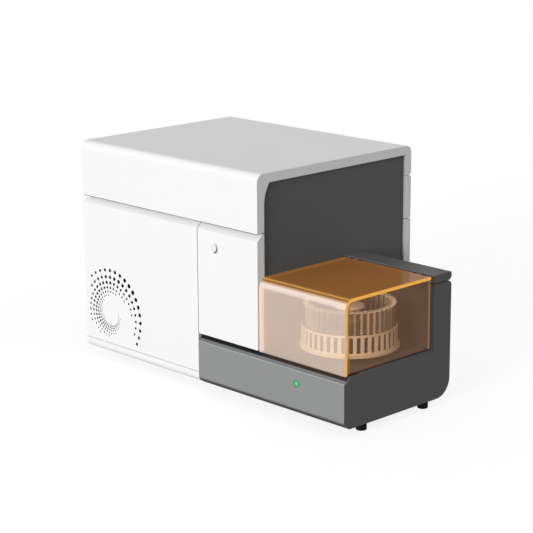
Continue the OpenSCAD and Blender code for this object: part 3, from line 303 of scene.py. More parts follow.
def clear_plastic(tree, out, haze, tint, body):
    """Mixes a transparent layer of the tint with a scattering body by the haze. Light falls through
    nearly untouched, so that what stands inside is lit: for light rays the haze and the tint are
    cut down."""
    rays = add(tree, "ShaderNodeLightPath")
    light = add(tree, "ShaderNodeMath", {"operation": "MAXIMUM"},
                [(0, rays, "Is Shadow Ray"), (1, rays, "Is Diffuse Ray")])
    weight = add(tree, "ShaderNodeMapRange", {1: 0.0, 2: 1.0, 3: 1.0, 4: 0.05}, [(0, light, 0)])
    colour = add(tree, "ShaderNodeMix", {"data_type": "RGBA", 6: to_linear(tint),
                                         7: to_linear("#fef9f2")}, [(0, light, 0)])
    through = add(tree, "ShaderNodeBsdfTransparent", links=[("Color", colour, 2)])
    share = together(tree, "MULTIPLY", haze, weight)
    mix = add(tree, "ShaderNodeMixShader", links=[(0, share, 0), (1, through, 0), (2, body, 0)])
    tree.links.new(mix.outputs[0], out.inputs[0])


def see_through(name, tint, haze, haze_code, rough, grain_mm):
    """A clear plastic or glass whose haze drifts a little over grain_mm."""
    tree, out, place = start_finish(name)
    slow = lumps(tree, place, grain_mm, 2.0)
    body = add(tree, "ShaderNodeBsdfPrincipled",
               {"Base Color": to_linear(haze_code), "Roughness": rough})
    drift = add(tree, "ShaderNodeMapRange", {1: 0.3, 2: 0.7, 3: haze * 0.92, 4: haze * 1.08},
                [(0, slow, 0)])
    clear_plastic(tree, out, drift, tint, body)


def round_the_axis(tree, place, centre):
    """How far a point lies from the carousel's upright axis, and how much its face is turned along
    the circle round that axis, from 0 to 1."""
    moved = add(tree, "ShaderNodeVectorMath", {"operation": "SUBTRACT", 1: list(centre)},
                [(0, place, "Object")])
    level = add(tree, "ShaderNodeVectorMath", {"operation": "MULTIPLY", 1: (1, 1, 0)},
                [(0, moved, 0)])
    reach = add(tree, "ShaderNodeVectorMath", {"operation": "LENGTH"}, [(0, level, 0)])
    outward = add(tree, "ShaderNodeVectorMath", {"operation": "NORMALIZE"}, [(0, level, 0)])
    across = add(tree, "ShaderNodeVectorMath", {"operation": "CROSS_PRODUCT"},
                 [(0, outward, 0), (1, place, "Normal")])
    height = add(tree, "ShaderNodeSeparateXYZ", links=[(0, across, 0)])
    return reach, add(tree, "ShaderNodeMath", {"operation": "ABSOLUTE"}, [(0, height, "Z")])


def shaded_bores(centre, radius):
    """Painted shade: darkens what lies deeper than the rim of a rack of the radius given, apart
    from its top.
    """
    def pattern(tree, place, colour):
        reach, _ = round_the_axis(tree, place, centre)
        deep = add(tree, "ShaderNodeMapRange",
                   {1: radius - 3.5 * MM, 2: radius - 1.0 * MM, 3: 0.75, 4: 0.0},
                   [(0, reach, "Value")])
        upright = along(tree, place, "Normal", "Z", 0.4, 0.8, 1.0, 0.0)
        return painted(tree, colour, "#6b4f3a", deep, upright)
    return pattern


def ring_of_tubes(name, centre):
    """Moulded polypropylene: nearly clear in the middle of each tube and milky at its mouth, with a
    painted reflection, pale and milky, along its two sides, where the wall is seen edge on from
    outside the ring."""
    tree, out, place = start_finish(name)
    _, turned_aside = round_the_axis(tree, place, centre)
    # Painted reflection: faces turned along the circle, the tubes' two sides, turn milky
    sides = add(tree, "ShaderNodeMapRange", {1: 0.88, 2: 0.99, 3: 0.03, 4: 0.9},
                [(0, turned_aside, 0)])
    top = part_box("sample_tubes")[1][2]
    mouth = along(tree, place, "Object", "Z", top - 1.6 * MM, top - 1.0 * MM, 0.0, 0.8)
    body = add(tree, "ShaderNodeBsdfPrincipled",
               {"Base Color": to_linear("#fff9f0"), "Roughness": 0.2})
    clear_plastic(tree, out, together(tree, "MAXIMUM", sides, mouth), "#fdfbf7", body)


def bent_sheet(name, low, high, radius):
    """Tinted acrylic bent over a bar. The colour follows the angle round the bend, worked out from
    the place on the section, from the milky upright front, through a painted pale highlight band
    and a painted bright highlight line, to the deep orange top. The sawn ends have a painted glow."""
    tree, out, place = start_finish(name)
    # How far before and above the bend's centre a point lies, and their angle as 0 to 1
    least = 1e-5
    fore = along(tree, place, "Object", "Y", low[1], low[1] + radius - least, radius, least)
    rise = along(tree, place, "Object", "Z", high[2] - radius, high[2], 0.0, radius)
    turn = add(tree, "ShaderNodeMath", {"operation": "ARCTAN2"}, [(0, rise, 0), (1, fore, 0)])
    turn = add(tree, "ShaderNodeMapRange", {1: 0.0, 2: math.pi / 2, 3: 0.0, 4: 1.0}, [(0, turn, 0)])
    # Painted highlights in the tone: a pale band low on the bend and a bright line higher up
    tone = add(tree, "ShaderNodeValToRGB", links=[(0, turn, 0)], stops=[
        (0.0, "#f8e8df"), (0.10, "#f2e2d8"), (0.34, "#f4e5d9"), (0.46, "#dab797"),
        (0.55, "#a07046"), (0.64, "#925f31"), (0.72, "#f6ba5c"), (0.79, "#d08f40"),
        (0.88, "#ae763c"), (1.0, "#b47a3e")])
    haze = add(tree, "ShaderNodeValToRGB", links=[(0, turn, 0)], stops=[
        (0.0, 0.36), (0.10, 0.66), (0.36, 0.82), (0.55, 0.8), (0.72, 0.95), (0.80, 0.88),
        (1.0, 0.88)])
    facing = add(tree, "ShaderNodeSeparateXYZ", links=[(0, place, "Normal")])
    aside = add(tree, "ShaderNodeMath", {"operation": "ABSOLUTE"}, [(0, facing, "X")])
    end = add(tree, "ShaderNodeMapRange", {1: 0.7, 2: 0.9, 3: 0.0, 4: 1.0}, [(0, aside, 0)])
    colour = add(tree, "ShaderNodeMix", {"data_type": "RGBA", 7: to_linear("#f9b450")},
                 [(0, end, 0), (6, tone, 0)])
    # The panel glued to the left end makes the sheet milkier in front of it
    glued = low[0] + 5 * MM
    panel = along(tree, place, "Object", "X", glued - 0.2 * MM, glued + 0.2 * MM, 0.85, 0.0)
    share = add(tree, "ShaderNodeMix", {"data_type": "FLOAT", 3: 0.92},
                [(0, end, 0), (2, together(tree, "MAXIMUM", haze, panel), 0)])
    # Painted glow: the sawn ends shine, though they are no lamp
    glow = add(tree, "ShaderNodeMath", {"operation": "MULTIPLY", 1: 0.5}, [(0, end, 0)])
    body = add(tree, "ShaderNodeBsdfPrincipled", {"Roughness": 0.12, "Specular IOR Level": 0.04},
               [("Base Color", colour, 2), ("Emission Color", colour, 2),
                ("Emission Strength", glow, 0)])
    clear_plastic(tree, out, share, "#fbf0df", body)


def glued_end(name, low, high):
    """The end panels: clear brown acrylic that shows what stands behind it, with a painted amber glow
    next to the bent sheet, a faint painted highlight as a pale line down its back edge and a dark
    line along its foot."""
    tree, out, place = start_finish(name)
    # Painted highlight: a pale line down the back edge
    back = along(tree, place, "Object", "Y", high[1] - 1.6 * MM, high[1] - 0.8 * MM, 0.0, 0.6)
    foot = along(tree, place, "Object", "Z", low[2] + 1.4 * MM, low[2] + 2.0 * MM, 1.0, 0.0)
    # Painted glow: milkier and more amber within 12 mm of the front, next to the bent sheet
    fore = along(tree, place, "Object", "Y", low[1], low[1] + 12 * MM, 1.0, 0.0)
    edge = together(tree, "MAXIMUM", back, foot, fore)
    colour = add(tree, "ShaderNodeMix", {"data_type": "RGBA", 6: to_linear("#d3a482"),
                                         7: to_linear("#d9a878")}, [(0, edge, 0)])
    body = add(tree, "ShaderNodeBsdfPrincipled", {"Roughness": 0.1, "Specular IOR Level": 0.1},
               [("Base Color", painted(tree, colour, "#1c130d", foot), 2)])
    haze = add(tree, "ShaderNodeMapRange", {1: 0.0, 2: 1.0, 3: 0.2, 4: 0.6}, [(0, edge, 0)])
    clear_plastic(tree, out, haze, "#faeee3", body)


def lamp_lens(name, low, high):
    """A diffusing green lens, lit from behind: pale and bright at its middle, deep at its rim."""
    tree, out, place = start_finish(name)
    centre = [(a + b) / 2 for a, b in zip(low, high)]
    moved = add(tree, "ShaderNodeVectorMath", {"operation": "SUBTRACT", 1: centre},
                [(0, place, "Object")])
    flat = add(tree, "ShaderNodeVectorMath", {"operation": "MULTIPLY", 1: (1, 0, 1)},
               [(0, moved, 0)])
    off = add(tree, "ShaderNodeVectorMath", {"operation": "LENGTH"}, [(0, flat, 0)])
    rim = 7.2 * MM
    share = add(tree, "ShaderNodeMapRange", {1: 0.0, 2: rim, 3: 0.0, 4: 1.0}, [(0, off, "Value")])
    tone = add(tree, "ShaderNodeValToRGB", links=[(0, share, 0)], stops=[
        (0.0, "#7fdca0"), (0.45, "#46b873"), (0.8, "#2f9a5e"), (1.0, "#1a5c3a")])
    body = add(tree, "ShaderNodeBsdfPrincipled", {"Roughness": 0.25, "Emission Strength": 0.12},
               [("Base Color", tone, 0), ("Emission Color", tone, 0)])
    tree.links.new(body.outputs[0], out.inputs[0])


def fascia_face(tree, place, colour):
    """The round lower edge and the left end are black, the chamfer is grey below and black in the
    shade under the panel, painted brown where the amber cover stands over it as the cover's shadow
    tinted by the light through it, and a painted highlight runs as a thin bright line along the
    upper edge of the face: by the face's direction, its height and its place along X."""
    top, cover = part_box("front_fascia")[1][2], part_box("sampler_cover")[0][0]
    shade_line, bright_line, soft = top - 7.4 * MM, top - 12.6 * MM, 0.5 * MM
    aside = along(tree, place, "Normal", "Y", -0.999, -0.93)
    chamfer = along(tree, place, "Normal", "Z", 0.3, 0.5)
    under_cover = along(tree, place, "Object", "X", cover, cover + 8 * MM)
    below = along(tree, place, "Object", "Z", shade_line - soft, shade_line + soft, 1.0, 0.0)
    axes = add(tree, "ShaderNodeSeparateXYZ", links=[(0, place, "Object")])
    off = add(tree, "ShaderNodeMath", {"operation": "SUBTRACT", 1: bright_line}, [(0, axes, "Z")])
    off = add(tree, "ShaderNodeMath", {"operation": "ABSOLUTE"}, [(0, off, 0)])
    line = add(tree, "ShaderNodeMapRange", {1: soft, 2: 0.8 * MM, 3: 0.8, 4: 0.0}, [(0, off, 0)])
    colour = painted(tree, colour, "#1d1e20", aside)
    # Painted shadow of the amber cover on the chamfer, brown with the light through it
    colour = painted(tree, colour, "#36291f", under_cover, chamfer)
    colour = painted(tree, colour, "#7b7d7f", below, chamfer)
    # Painted highlight: a thin bright line along the face's upper edge
    return painted(tree, colour, "#b9bbbd", line)


def vent_walls(tree, place, colour):
    """Painted shade: the walls of the vent's holes are dark, on faces of the door's skin that are
    turned away from the front, between its two sides and clear of its edges."""
    low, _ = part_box("left_door")
    skin, left, right, foot = low[1] + 4 * MM, low[0] + 2 * MM, low[0] + 200 * MM, low[2] + 5 * MM
    facing = add(tree, "ShaderNodeSeparateXYZ", links=[(0, place, "Normal")])
    forward = add(tree, "ShaderNodeMath", {"operation": "ABSOLUTE"}, [(0, facing, "Y")])
    aside = add(tree, "ShaderNodeMapRange", {1: 0.3, 2: 0.5, 3: 1.0, 4: 0.0}, [(0, forward, 0)])
    return painted(tree, colour, "#1b1c1e", aside,
                   along(tree, place, "Object", "Y", skin - 0.1 * MM, skin + 0.1 * MM, 1.0, 0.0),
                   along(tree, place, "Object", "X", right, right + 1 * MM, 1.0, 0.0),
                   along(tree, place, "Object", "X", left, left + 1 * MM),
                   along(tree, place, "Object", "Z", foot, foot + 1 * MM))


def shaded_return(tree, place, colour):
    """The narrow return behind the back rim, between the side panel and the rim's edge, is in
    shade: faces turned to the front, close to either end of the cabinet and to its back."""
    low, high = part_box("top_lid")
    middle_x, half, back = (low[0] + high[0]) / 2, (high[0] - low[0]) / 2, high[1] - 32 * MM
    axes = add(tree, "ShaderNodeSeparateXYZ", links=[(0, place, "Object")])
    off = add(tree, "ShaderNodeMath", {"operation": "SUBTRACT", 1: middle_x}, [(0, axes, "X")])
    off = add(tree, "ShaderNodeMath", {"operation": "ABSOLUTE"}, [(0, off, 0)])
    near_end = add(tree, "ShaderNodeMapRange",
                   {1: half - 22 * MM, 2: half - 20 * MM, 3: 0.0, 4: 1.0}, [(0, off, 0)])
    return painted(tree, colour, "#a3a3a2", near_end,
                   along(tree, place, "Normal", "Y", -0.9, -0.7, 1.0, 0.0),
                   along(tree, place, "Object", "Y", back, back + 2 * MM))


def front_in_shade(tree, place, colour):
    """Faces turned to the front stand in the shade behind the cover and are darker."""
    forward = along(tree, place, "Normal", "Y", -0.97, -0.9, 1.0, 0.0)
    return painted(tree, colour, "#3c3d3f", forward)


# Name, colour, roughness, grain in mm, its height in mm, mottling in mm, its strength, and how far
# the edges are broken in mm
PLASTICS = (
    # Gloss moulded acetal: a clean pale highlight
    ("gloss_white_button", "#efefee", 0.25, 3.0, 0.002, 20.0, 0.01, 0.5),
    # Moulded glass-filled nylon: dull black with a fine grain
    ("black_moulded_plastic", "#1d1e20", 0.45, 0.8, 0.01, 20.0, 0.06, 0.3),
    # Moulded ABS: even grey with a soft shine
    ("grey_moulded_plastic", "#6f7275", 0.45, 0.8, 0.01, 20.0, 0.04, 0.3),
    # Dyed polypropylene: waxy blue
    ("blue_valve_plastic", "#2f5f93", 0.4, 0.8, 0.008, 20.0, 0.04, 0.3),
    # Moulded acetal: waxy and off white
    ("cream_acetal", "#f3ead9", 0.4, 1.5, 0.006, 30.0, 0.02, 0.5),
    ("white_acetal", "#f0f0ee", 0.4, 1.5, 0.006, 30.0, 0.015, 0.4),
)
METALS = (
    # Bright zinc plating: fine, cool grain with cloudy patches
    ("zinc_plated_steel", "#b9bcc0", 0.38, 0.5, 0.004, 14.0, 0.07, 0.2),
    # Chemically blackened: dark, oily sheen
    ("blackened_steel", "#3a3c3f", 0.42, 0.6, 0.006, 18.0, 0.08, 0.3),
    # Drawn and polished: sharp highlights
    ("polished_steel", "#c9cbce", 0.2, 6.0, 0.002, 25.0, 0.03, 0.2),
    # Gold flash over nickel: warm and bright
    ("gilt_contacts", "#c9a45a", 0.25, 1.0, 0.002, 6.0, 0.05, 0.1),
    # Chromed spring wire: almost a mirror
    ("chrome_plated_wire", "#d5d7d9", 0.16, 5.0, 0.002, 20.0, 0.02, 0.1),
)


def make_finishes(colours):
    """Every finish of the instrument, each named for the real one."""
    for row in PLASTICS:
        solid(*row)
    for row in METALS:
        solid(*row, metallic=1.0)
    # Sprayed structural foam: satin, with a faint orange peel
    solid("sprayed_white_moulding", colours["white"], 0.45, 1.2, 0.006, 90.0, 0.006, 0.8,
          specular=0.3, pattern=shaded_return)
    # The same over the vent, with painted shade on the walls of its holes
    solid("vented_white_moulding", colours["white"], 0.45, 1.2, 0.006, 90.0, 0.006, 0.3,
          specular=0.3, pattern=vent_walls)
    # Epoxy powder coat on steel sheet: a dull, fine pebble
    solid("powder_coated_steel", colours["side"], 0.55, 0.7, 0.02, 40.0, 0.05, 0.4, specular=0.1)
    # ABS with a spark-eroded texture: dull grey
    solid("textured_grey_moulding", colours["fascia"], 0.5, 0.6, 0.012, 50.0, 0.025, 0.5,
          specular=0.15, pattern=fascia_face)
    # The same in charcoal
    solid("textured_charcoal_moulding", colours["housing"], 0.5, 0.6, 0.012, 50.0, 0.04, 0.7,
          specular=0.08, pattern=front_in_shade)
    # Vulcanised rubber: matt and slightly dusty
    solid("vulcanised_rubber", "#17181a", 0.8, 0.9, 0.03, 12.0, 0.12, 0.4, specular=0.12)
    # Open-cell filter foam: coarse, nearly black cells
    solid("filter_foam", "#141516", 0.95, 1.6, 0.6, 15.0, 0.25, 0.2, specular=0.1)
    # Milled aluminium: tool lines along X
    solid("milled_aluminium", "#b4b6b9", 0.34, 0.35, 0.004, 30.0, 0.04, 0.3, metallic=1.0,
          stretch=(18, 1, 1))
    # Hard anodised aluminium: satin, deep black or grey, less metallic as its oxide is thicker
    solid("black_anodised_aluminium", "#2b2c2f", 0.4, 0.5, 0.005, 25.0, 0.06, 0.3, metallic=0.6)
    solid("grey_anodised_aluminium", "#5d6064", 0.4, 0.5, 0.005, 25.0, 0.05, 0.3, metallic=0.8)
    # Clear anodised bench plate: pale satin, tapped every 25 mm
    solid("tapped_bench_plate", "#9da0a4", 0.38, 0.4, 0.004, 40.0, 0.04, 0.4, metallic=1.0,
          pattern=grid_of_holes(25.0, 6.0, "#101113"))
    # Glass fibre board under solder lacquer: glossy green with faint tracks
    solid("lacquered_circuit_board", "#1f6a3d", 0.3, 1.0, 0.01, 10.0, 0.08, 0.2, pattern=circuit)
    # Cream acetal with painted shade in its bores and slots
    rack_low, rack_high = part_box("tube_rack")
    solid("slotted_cream_acetal", "#f6ecda", 0.4, 1.5, 0.006, 30.0, 0.02, 0.4,
          pattern=shaded_bores(middle("tube_rack"), (rack_high[0] - rack_low[0]) / 2))
    # Polished quartz glass: clear, with a cool, faint veil
    see_through("fused_quartz", "#f4f8fa", 0.16, "#dfe8ec", 0.02, 20.0)
    # Extruded silicone: milky and soft
    see_through("clear_silicone_tube", "#eef2f2", 0.4, "#d9e2e4", 0.15, 12.0)
    ring_of_tubes("polypropylene_tube", middle("carousel_plate"))
    glued_end("smoked_brown_acrylic", *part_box("cover_end_panels"))
    bent_sheet("bent_amber_acrylic", *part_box("sampler_cover"), COVER_BEND)
    lamp_lens("lit_green_lens", *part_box("status_light"))


# ---- Small parts ----

def screw(centre, axis, head=5.5 * MM, rise=1.6 * MM):
    """A button-head screw: a dome of two cones and a flat, with a hexagonal socket sunk in it."""
    r, sunk = head / 2, -0.3 * MM
    profile = [(r * 0.9, sunk), (r, 0.0), (r, rise * 0.35), (r * 0.88, rise * 0.75),
               (r * 0.66, rise * 0.96), (r * 0.5, rise), (r * 0.46, rise * 0.98),
               (r * 0.46, rise * 0.35)]
    return turned(profile, centre, axis, lobes={6, 7})


def carousel_knob(radius):
    """The knob that lifts the carousel out: a shallow dome with a rounded rim, turned about the
    carousel's axis, on top of the hub."""
    centre = middle("carousel_plate")
    centre[2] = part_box("tube_rack")[1][2]
    # Radius and height above the rack, in mm
    profile = np.array([(9.0, -9.0), (20.0, -8.2), (25.0, -7.0), (27.0, -5.4), (27.6, -3.6),
                        (27.2, -1.8), (25.6, -0.2), (22.0, 1.0), (12.0, 2.2), (4.0, 2.6)]) * MM
    profile[:, 0] *= radius / profile[:, 0].max()
    mesh_piece("carousel_knob", [turned(profile, centre, (0, 0, 1), 72)], "cream_acetal",
               "carousel")


def lid_seal(width):
    """A rubber lip along the underside of the lid's front edge, dark so that it also stands in for
    the painted shadow line under the lid: a rounded section carried from end to end."""
    low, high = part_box("top_lid")
    inset, above_door = 2 * MM, 1.4 * MM
    y, z = low[1] + inset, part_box("left_door")[1][2] + above_door
    path = np.linspace((low[0] + inset, y, z), (high[0] - inset, y, z), 12)
    mesh_piece("lid_seal", [swept(path, rounded(width, 1.5 * MM, 0.6 * MM))], "vulcanised_rubber",
               "lid")


def button_mark():
    """A black crescent let into the button: what lies inside a circle and outside a second one of
    nearly the same size, whose middle is moved to the left and a little up, cut off at its ends."""
    front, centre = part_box("power_button")[0][1], middle("power_button")
    outer_r, inner_r, apart, thinnest = 8.6 * MM, 8.2 * MM, 3.0 * MM, 0.05 * MM
    # Points along each arc, half of the arc and its turn downwards, in radians
    steps, half_turn, tilt = 41, 1.5, 0.2
    a = np.linspace(-half_turn, half_turn, steps)
    inner = np.sqrt(inner_r ** 2 - (apart * np.sin(a)) ** 2) - apart * np.cos(a)
    radius = np.concatenate([np.full(steps, outer_r), np.minimum(inner, outer_r - thinnest)[::-1]])
    turn, n = np.concatenate([a, a[::-1]]) - tilt, 2 * steps
    x, z = centre[0] + radius * np.cos(turn), centre[2] + radius * np.sin(turn)
    points = np.concatenate([np.column_stack([x, np.full(n, front + deep), z])
                             for deep in (0.05 * MM, 0.95 * MM)])
    i, j = np.arange(n), np.arange(steps - 1)
    walls = np.stack([i, (i + 1) % n, (i + 1) % n + n, i + n], -1)[:, ::-1]
    face = np.stack([j, j + 1, n - 2 - j, n - 1 - j], -1)
    faces = np.concatenate([walls, face, (face + n)[:, ::-1]])
    mesh_piece("button_mark", [(points, faces)], "black_moulded_plastic", "button",
               smooth=False)


def back_fixings(head):
    """Screws of the connector plate and of the mains inlet."""
    low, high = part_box("rear_io_plate")
    plate_y, inlet_y = low[1] + 2 * MM, low[1] + INLET_FACE
    inset, inlet_inset = 17 * MM, 3.2 * MM
    parts = [screw((x, plate_y, z), (0, 1, 0), head)
             for x in (low[0] + inset, (low[0] + high[0]) / 2, high[0] - inset)
             for z in (low[2] + inset, high[2] - inset)]
    low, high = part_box("mains_inlet")
    parts += [screw((x, inlet_y, (low[2] + high[2]) / 2), (0, 1, 0), 4.2 * MM, 1.2 * MM)
              for x in (low[0] + inlet_inset, high[0] - inlet_inset)]
    mesh_piece("back_screws", parts, "zinc_plated_steel", "cabinet")


def inlet_blades():
    """Three flat contact blades standing in the mains socket, the middle one higher: a rounded
    section carried straight back."""
    low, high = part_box("mains_inlet")
    middle_x, middle_z = low[0] + 39 * MM, (low[2] + high[2]) / 2
    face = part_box("rear_io_plate")[0][1] + INLET_FACE
    root, tip, apart, lift = face - 18.3 * MM, face - 3.0 * MM, 7 * MM, 2.5 * MM
    parts = []
    for x, z in ((middle_x - apart, middle_z - lift), (middle_x, middle_z + lift),
                 (middle_x + apart, middle_z - lift)):
        path = np.linspace((x, root, z), (x, tip, z), 6)
        parts.append(swept(path, rounded(2.0 * MM, 4.0 * MM, 0.5 * MM)))
    mesh_piece("inlet_blades", parts, "polished_steel", "cabinet")


def port_insides():
    """What stands inside the data sockets: a tongue under the top of the flat one and a post in the
    middle of the square one, each with four contacts, and eight bent springs in the network one."""
    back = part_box("rear_io_plate")[0][1]
    low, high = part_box("data_ports")
    mid = (low[2] + high[2]) / 2
    flat, square, network = high[0] - 9.5 * MM, high[0] - 37.5 * MM, high[0] - 67.5 * MM
    tongues, strips = [], []
    for x, z, wide, tall in ((flat, mid + 0.9 * MM, 11.0 * MM, 1.6 * MM),
                             (square, mid + 0.4 * MM, 8.0 * MM, 4.6 * MM)):
        path = np.linspace((x, back - 10.3 * MM, z), (x, back + 1.0 * MM, z), 5)
        tongues.append(swept(path, rounded(wide, tall, 0.4 * MM)))
        under = z - tall / 2 - 0.1 * MM
        for place in (-1.5, -0.5, 0.5, 1.5):
            side = x + place * 0.21 * wide
            path = np.linspace((side, back - 9.0 * MM, under), (side, back + 0.2 * MM, under), 4)
            strips.append(swept(path, rounded(1.1 * MM, 0.3 * MM, 0.1 * MM, 2)))
    # From 0 at the root of a spring to 1 at its free end, which stands lower
    share = np.linspace(0, 1, 7)
    y, z = back + 9.6 * MM * (share - 1), mid + (5.4 - 2.6 * share ** 1.5) * MM
    for place in range(8):
        path = np.column_stack([np.full(7, network + (place - 3.5) * 1.1 * MM), y, z])
        strips.append(swept(path, rounded(0.5 * MM, 0.4 * MM, 0.1 * MM, 2)))
    mesh_piece("port_tongues", tongues, "white_acetal", "cabinet")
    mesh_piece("port_contacts", strips, "gilt_contacts", "cabinet")


def foot_screws():
    """A socket screw sunk in the underside of each foot."""
    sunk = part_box("feet")[0][2] + 3 * MM
    parts = []
    for x, y in FEET:
        place = at(x, y, 0)
        parts.append(screw((place[0], place[1], sunk), (0, 0, -1), 6.5 * MM, 2.0 * MM))
    mesh_piece("foot_screws", parts, "zinc_plated_steel", "cabinet")


def bench_fixings():
    """Socket-head screws that hold the bench to the chassis, the flow cell's block to the bench and
    the three mirrors to their plate."""
    up = (0, 0, 1)
    low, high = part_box("optical_bench")
    side, proud = 15 * MM, 0.2 * MM
    parts = [screw((x, low[1] + share * (high[1] - low[1]), high[2] + proud), up, 9 * MM, 4 * MM)
             for x in (low[0] + side, high[0] - side) for share in (0.05, 0.5, 0.95)]
    low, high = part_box("flow_cell_block")
    parts += [screw((low[0] + x * MM, low[1] + y * MM, high[2]), up, 5.5 * MM, 2.5 * MM)
              for x in (6, 38) for y in (6, 34)]
    low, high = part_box("beam_mirrors")
    half, out, plate = 13 * MM, 9.2 * MM, 6 * MM
    for y in np.linspace(low[1] + half, high[1] - half, 3):
        parts += [screw((low[0] + half + dx, y + dy, low[2] + plate), up, 4.0 * MM, 2.2 * MM)
                  for dx, dy in ((-out, 0), (out, 0), (0, -out), (0, out))]
    mesh_piece("bench_screws", parts, "blackened_steel", "cabinet")


def detector_plugs():
    """A round plug with a ribbed grip on the end of each photomultiplier: rings of two radii."""
    low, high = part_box("photomultipliers")
    first, pitch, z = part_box("detector_block")[0][0] + 17.5 * MM, 25 * MM, (low[2] + high[2]) / 2
    # Radius and height along the plug, in mm: its foot, the nine rings of its grip and its tip
    grip = [(6.2 + 0.35 * (ring % 2), -0.6 + 0.55 * ring) for ring in range(9)]
    profile = np.array([(5.2, -1.0)] + grip + [(5.0, 4.4), (2.2, 4.6), (2.0, 7.2)]) * MM
    parts = [turned(profile, (first + pitch * place, y, z), (0, side, 0), 20)
             for place in range(6) for side, y in ((-1, low[1]), (1, high[1]))]
    mesh_piece("detector_plugs", parts, "black_moulded_plastic", "cabinet")


def board_parts():
    """Capacitors, chips and sockets on the main board, placed in mm from its lower left corner."""
    face = np.array(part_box("main_board")[0]) + np.array([0, 0, 16]) * MM
    # A can's outline, as shares of its radius and of its height
    outline = np.array([(0.9, -0.02), (1.0, 0.03), (1.0, 0.92), (0.93, 0.98), (0.6, 1.0)])
    cans = [turned(outline * (r * MM, h * MM), face + np.array([x, y, 0]) * MM, (0, 0, 1), 20)
            for x, y, r, h in ((88, 68, 5, 14), (100, 68, 5, 14), (88, 54, 4, 11), (98, 54, 4, 11),
                               (12, 20, 4, 9), (12, 32, 4, 9))]
    # Place, width, depth and height of each chip, let 0.2 mm into the board
    chips = [slab(face + np.array([x, y, -0.2]) * MM, face + np.array([x + w, y + d, h]) * MM)
             for x, y, w, d, h in ((24, 58, 18, 18, 2), (54, 60, 10, 16, 2), (50, 10, 14, 8, 3),
                                   (8, 44, 10, 22, 3), (30, 8, 12, 6, 7), (62, 28, 6, 6, 1.4),
                                   (62, 38, 6, 6, 1.4), (54, 46, 8, 6, 1.4))]
    mesh_piece("board_capacitors", cans, "polished_steel", "cabinet")
    mesh_piece("board_chips", chips, "black_moulded_plastic", "cabinet")


def lid_ribs(count, thickness):
    """Stiffening ribs under the lid's top, with rounded lower edges: a rounded section carried from
    front to back."""
    low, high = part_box("top_lid")
    side, end, tall, skin = 60 * MM, 22 * MM, 7 * MM, 4 * MM
    z = high[2] - skin - 3 * MM
    parts = [swept(np.linspace((x, low[1] + end, z), (x, high[1] - end, z), 8),
                   rounded(thickness, tall, 1.1 * MM))
             for x in np.linspace(low[0] + side, high[0] - side, count)]
    mesh_piece("lid_ribs", parts, "sprayed_white_moulding", "lid")


def door_magnets(radius):
    """Two catch magnets in their holders on the inside of the door's free edge: a turned cup."""
    low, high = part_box("left_door")
    edge, end, skin = 12 * MM, 40 * MM, 4 * MM
    # Radius and height above the door's skin, in mm
    profile = np.array([(7, -0.2), (7, 3), (6.2, 4), (4.6, 4), (4.4, 3.4)]) * MM
    profile[:, 0] *= radius / profile[:, 0].max()
    parts = [turned(profile, (high[0] - edge, low[1] + skin, z), (0, 1, 0), 28)
             for z in (low[2] + end, high[2] - end)]
    mesh_piece("door_magnets", parts, "polished_steel", "door")


NODE_FINISH = {
    "sprayed_white_moulding": ("front_trim", "right_front_panel", "rear_upper_panel",
                               "rear_lower_panel", "top_lid"),
    "vented_white_moulding": ("left_door",),
    "powder_coated_steel": ("left_side_panel", "right_side_panel"),
    "textured_grey_moulding": ("front_fascia",),
    "textured_charcoal_moulding": ("sampler_housing", "column_cap", "sampler_deck"),
    "gloss_white_button": ("power_button",),
    "black_moulded_plastic": ("fan_frame", "fan_rotor", "mains_inlet", "mains_rocker",
                              "power_switch"),
    "grey_moulded_plastic": ("sheath_pump", "pump_rotor"),
    "blue_valve_plastic": ("fluid_ports", "pinch_valves"),
    "vulcanised_rubber": ("feet",),
    "filter_foam": ("vent_filter",),
    "zinc_plated_steel": ("chassis_tray", "door_hinge_pins", "rear_io_plate",
                          "data_ports", "fluidics_panel", "power_supply"),
    "blackened_steel": ("lid_hinges", "cover_hinges", "carousel_motor"),
    "polished_steel": ("photomultipliers", "carousel_shaft", "sampling_needle"),
    "chrome_plated_wire": ("fan_guard",),
    "tapped_bench_plate": ("optical_bench",),
    "milled_aluminium": ("beam_mirrors", "flow_cell_block", "arm_guides"),
    "black_anodised_aluminium": ("focusing_lens", "collection_lens", "detector_block",
                                 "sampling_arm"),
    "grey_anodised_aluminium": ("chassis_frame", "laser_modules", "syringe_drive"),
    "lacquered_circuit_board": ("main_board",),
    "fused_quartz": ("flow_cell", "syringe_barrel"),
    "clear_silicone_tube": ("fluid_tubing",),
    "polypropylene_tube": ("sample_tubes",),
    "white_acetal": ("syringe_plunger", "sheath_filter"),
    "cream_acetal": ("carousel_plate",),
    "slotted_cream_acetal": ("tube_rack",),
    "smoked_brown_acrylic": ("cover_end_panels",),
    "bent_amber_acrylic": ("sampler_cover",),
    "lit_green_lens": ("status_light",),
}


def dress_nodes():
    """Gives each solid of the frame its finish, and stops if one is left without."""
    left = set(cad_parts)
    for finish, nodes in NODE_FINISH.items():
        for node in nodes:
            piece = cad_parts[node]
            if not piece.material_slots:
                piece.data.materials.append(None)
            for place in piece.material_slots:
                place.material = bpy.data.materials[finish]
            left.discard(node)
    if left:
        raise RuntimeError("no finish for " + ", ".join(sorted(left)))


# ---- Studio ----

# Half the floor's side in metres, its glow and its scatter to the camera, and what it throws back
# on the instrument
FLOOR_HALF, FLOOR_GLOW, FLOOR_SCATTER, FLOOR_GREY = 8.0, 0.85, 0.25, 0.24
LAMP_TOWARD = (0.16, -0.97, 0.176)
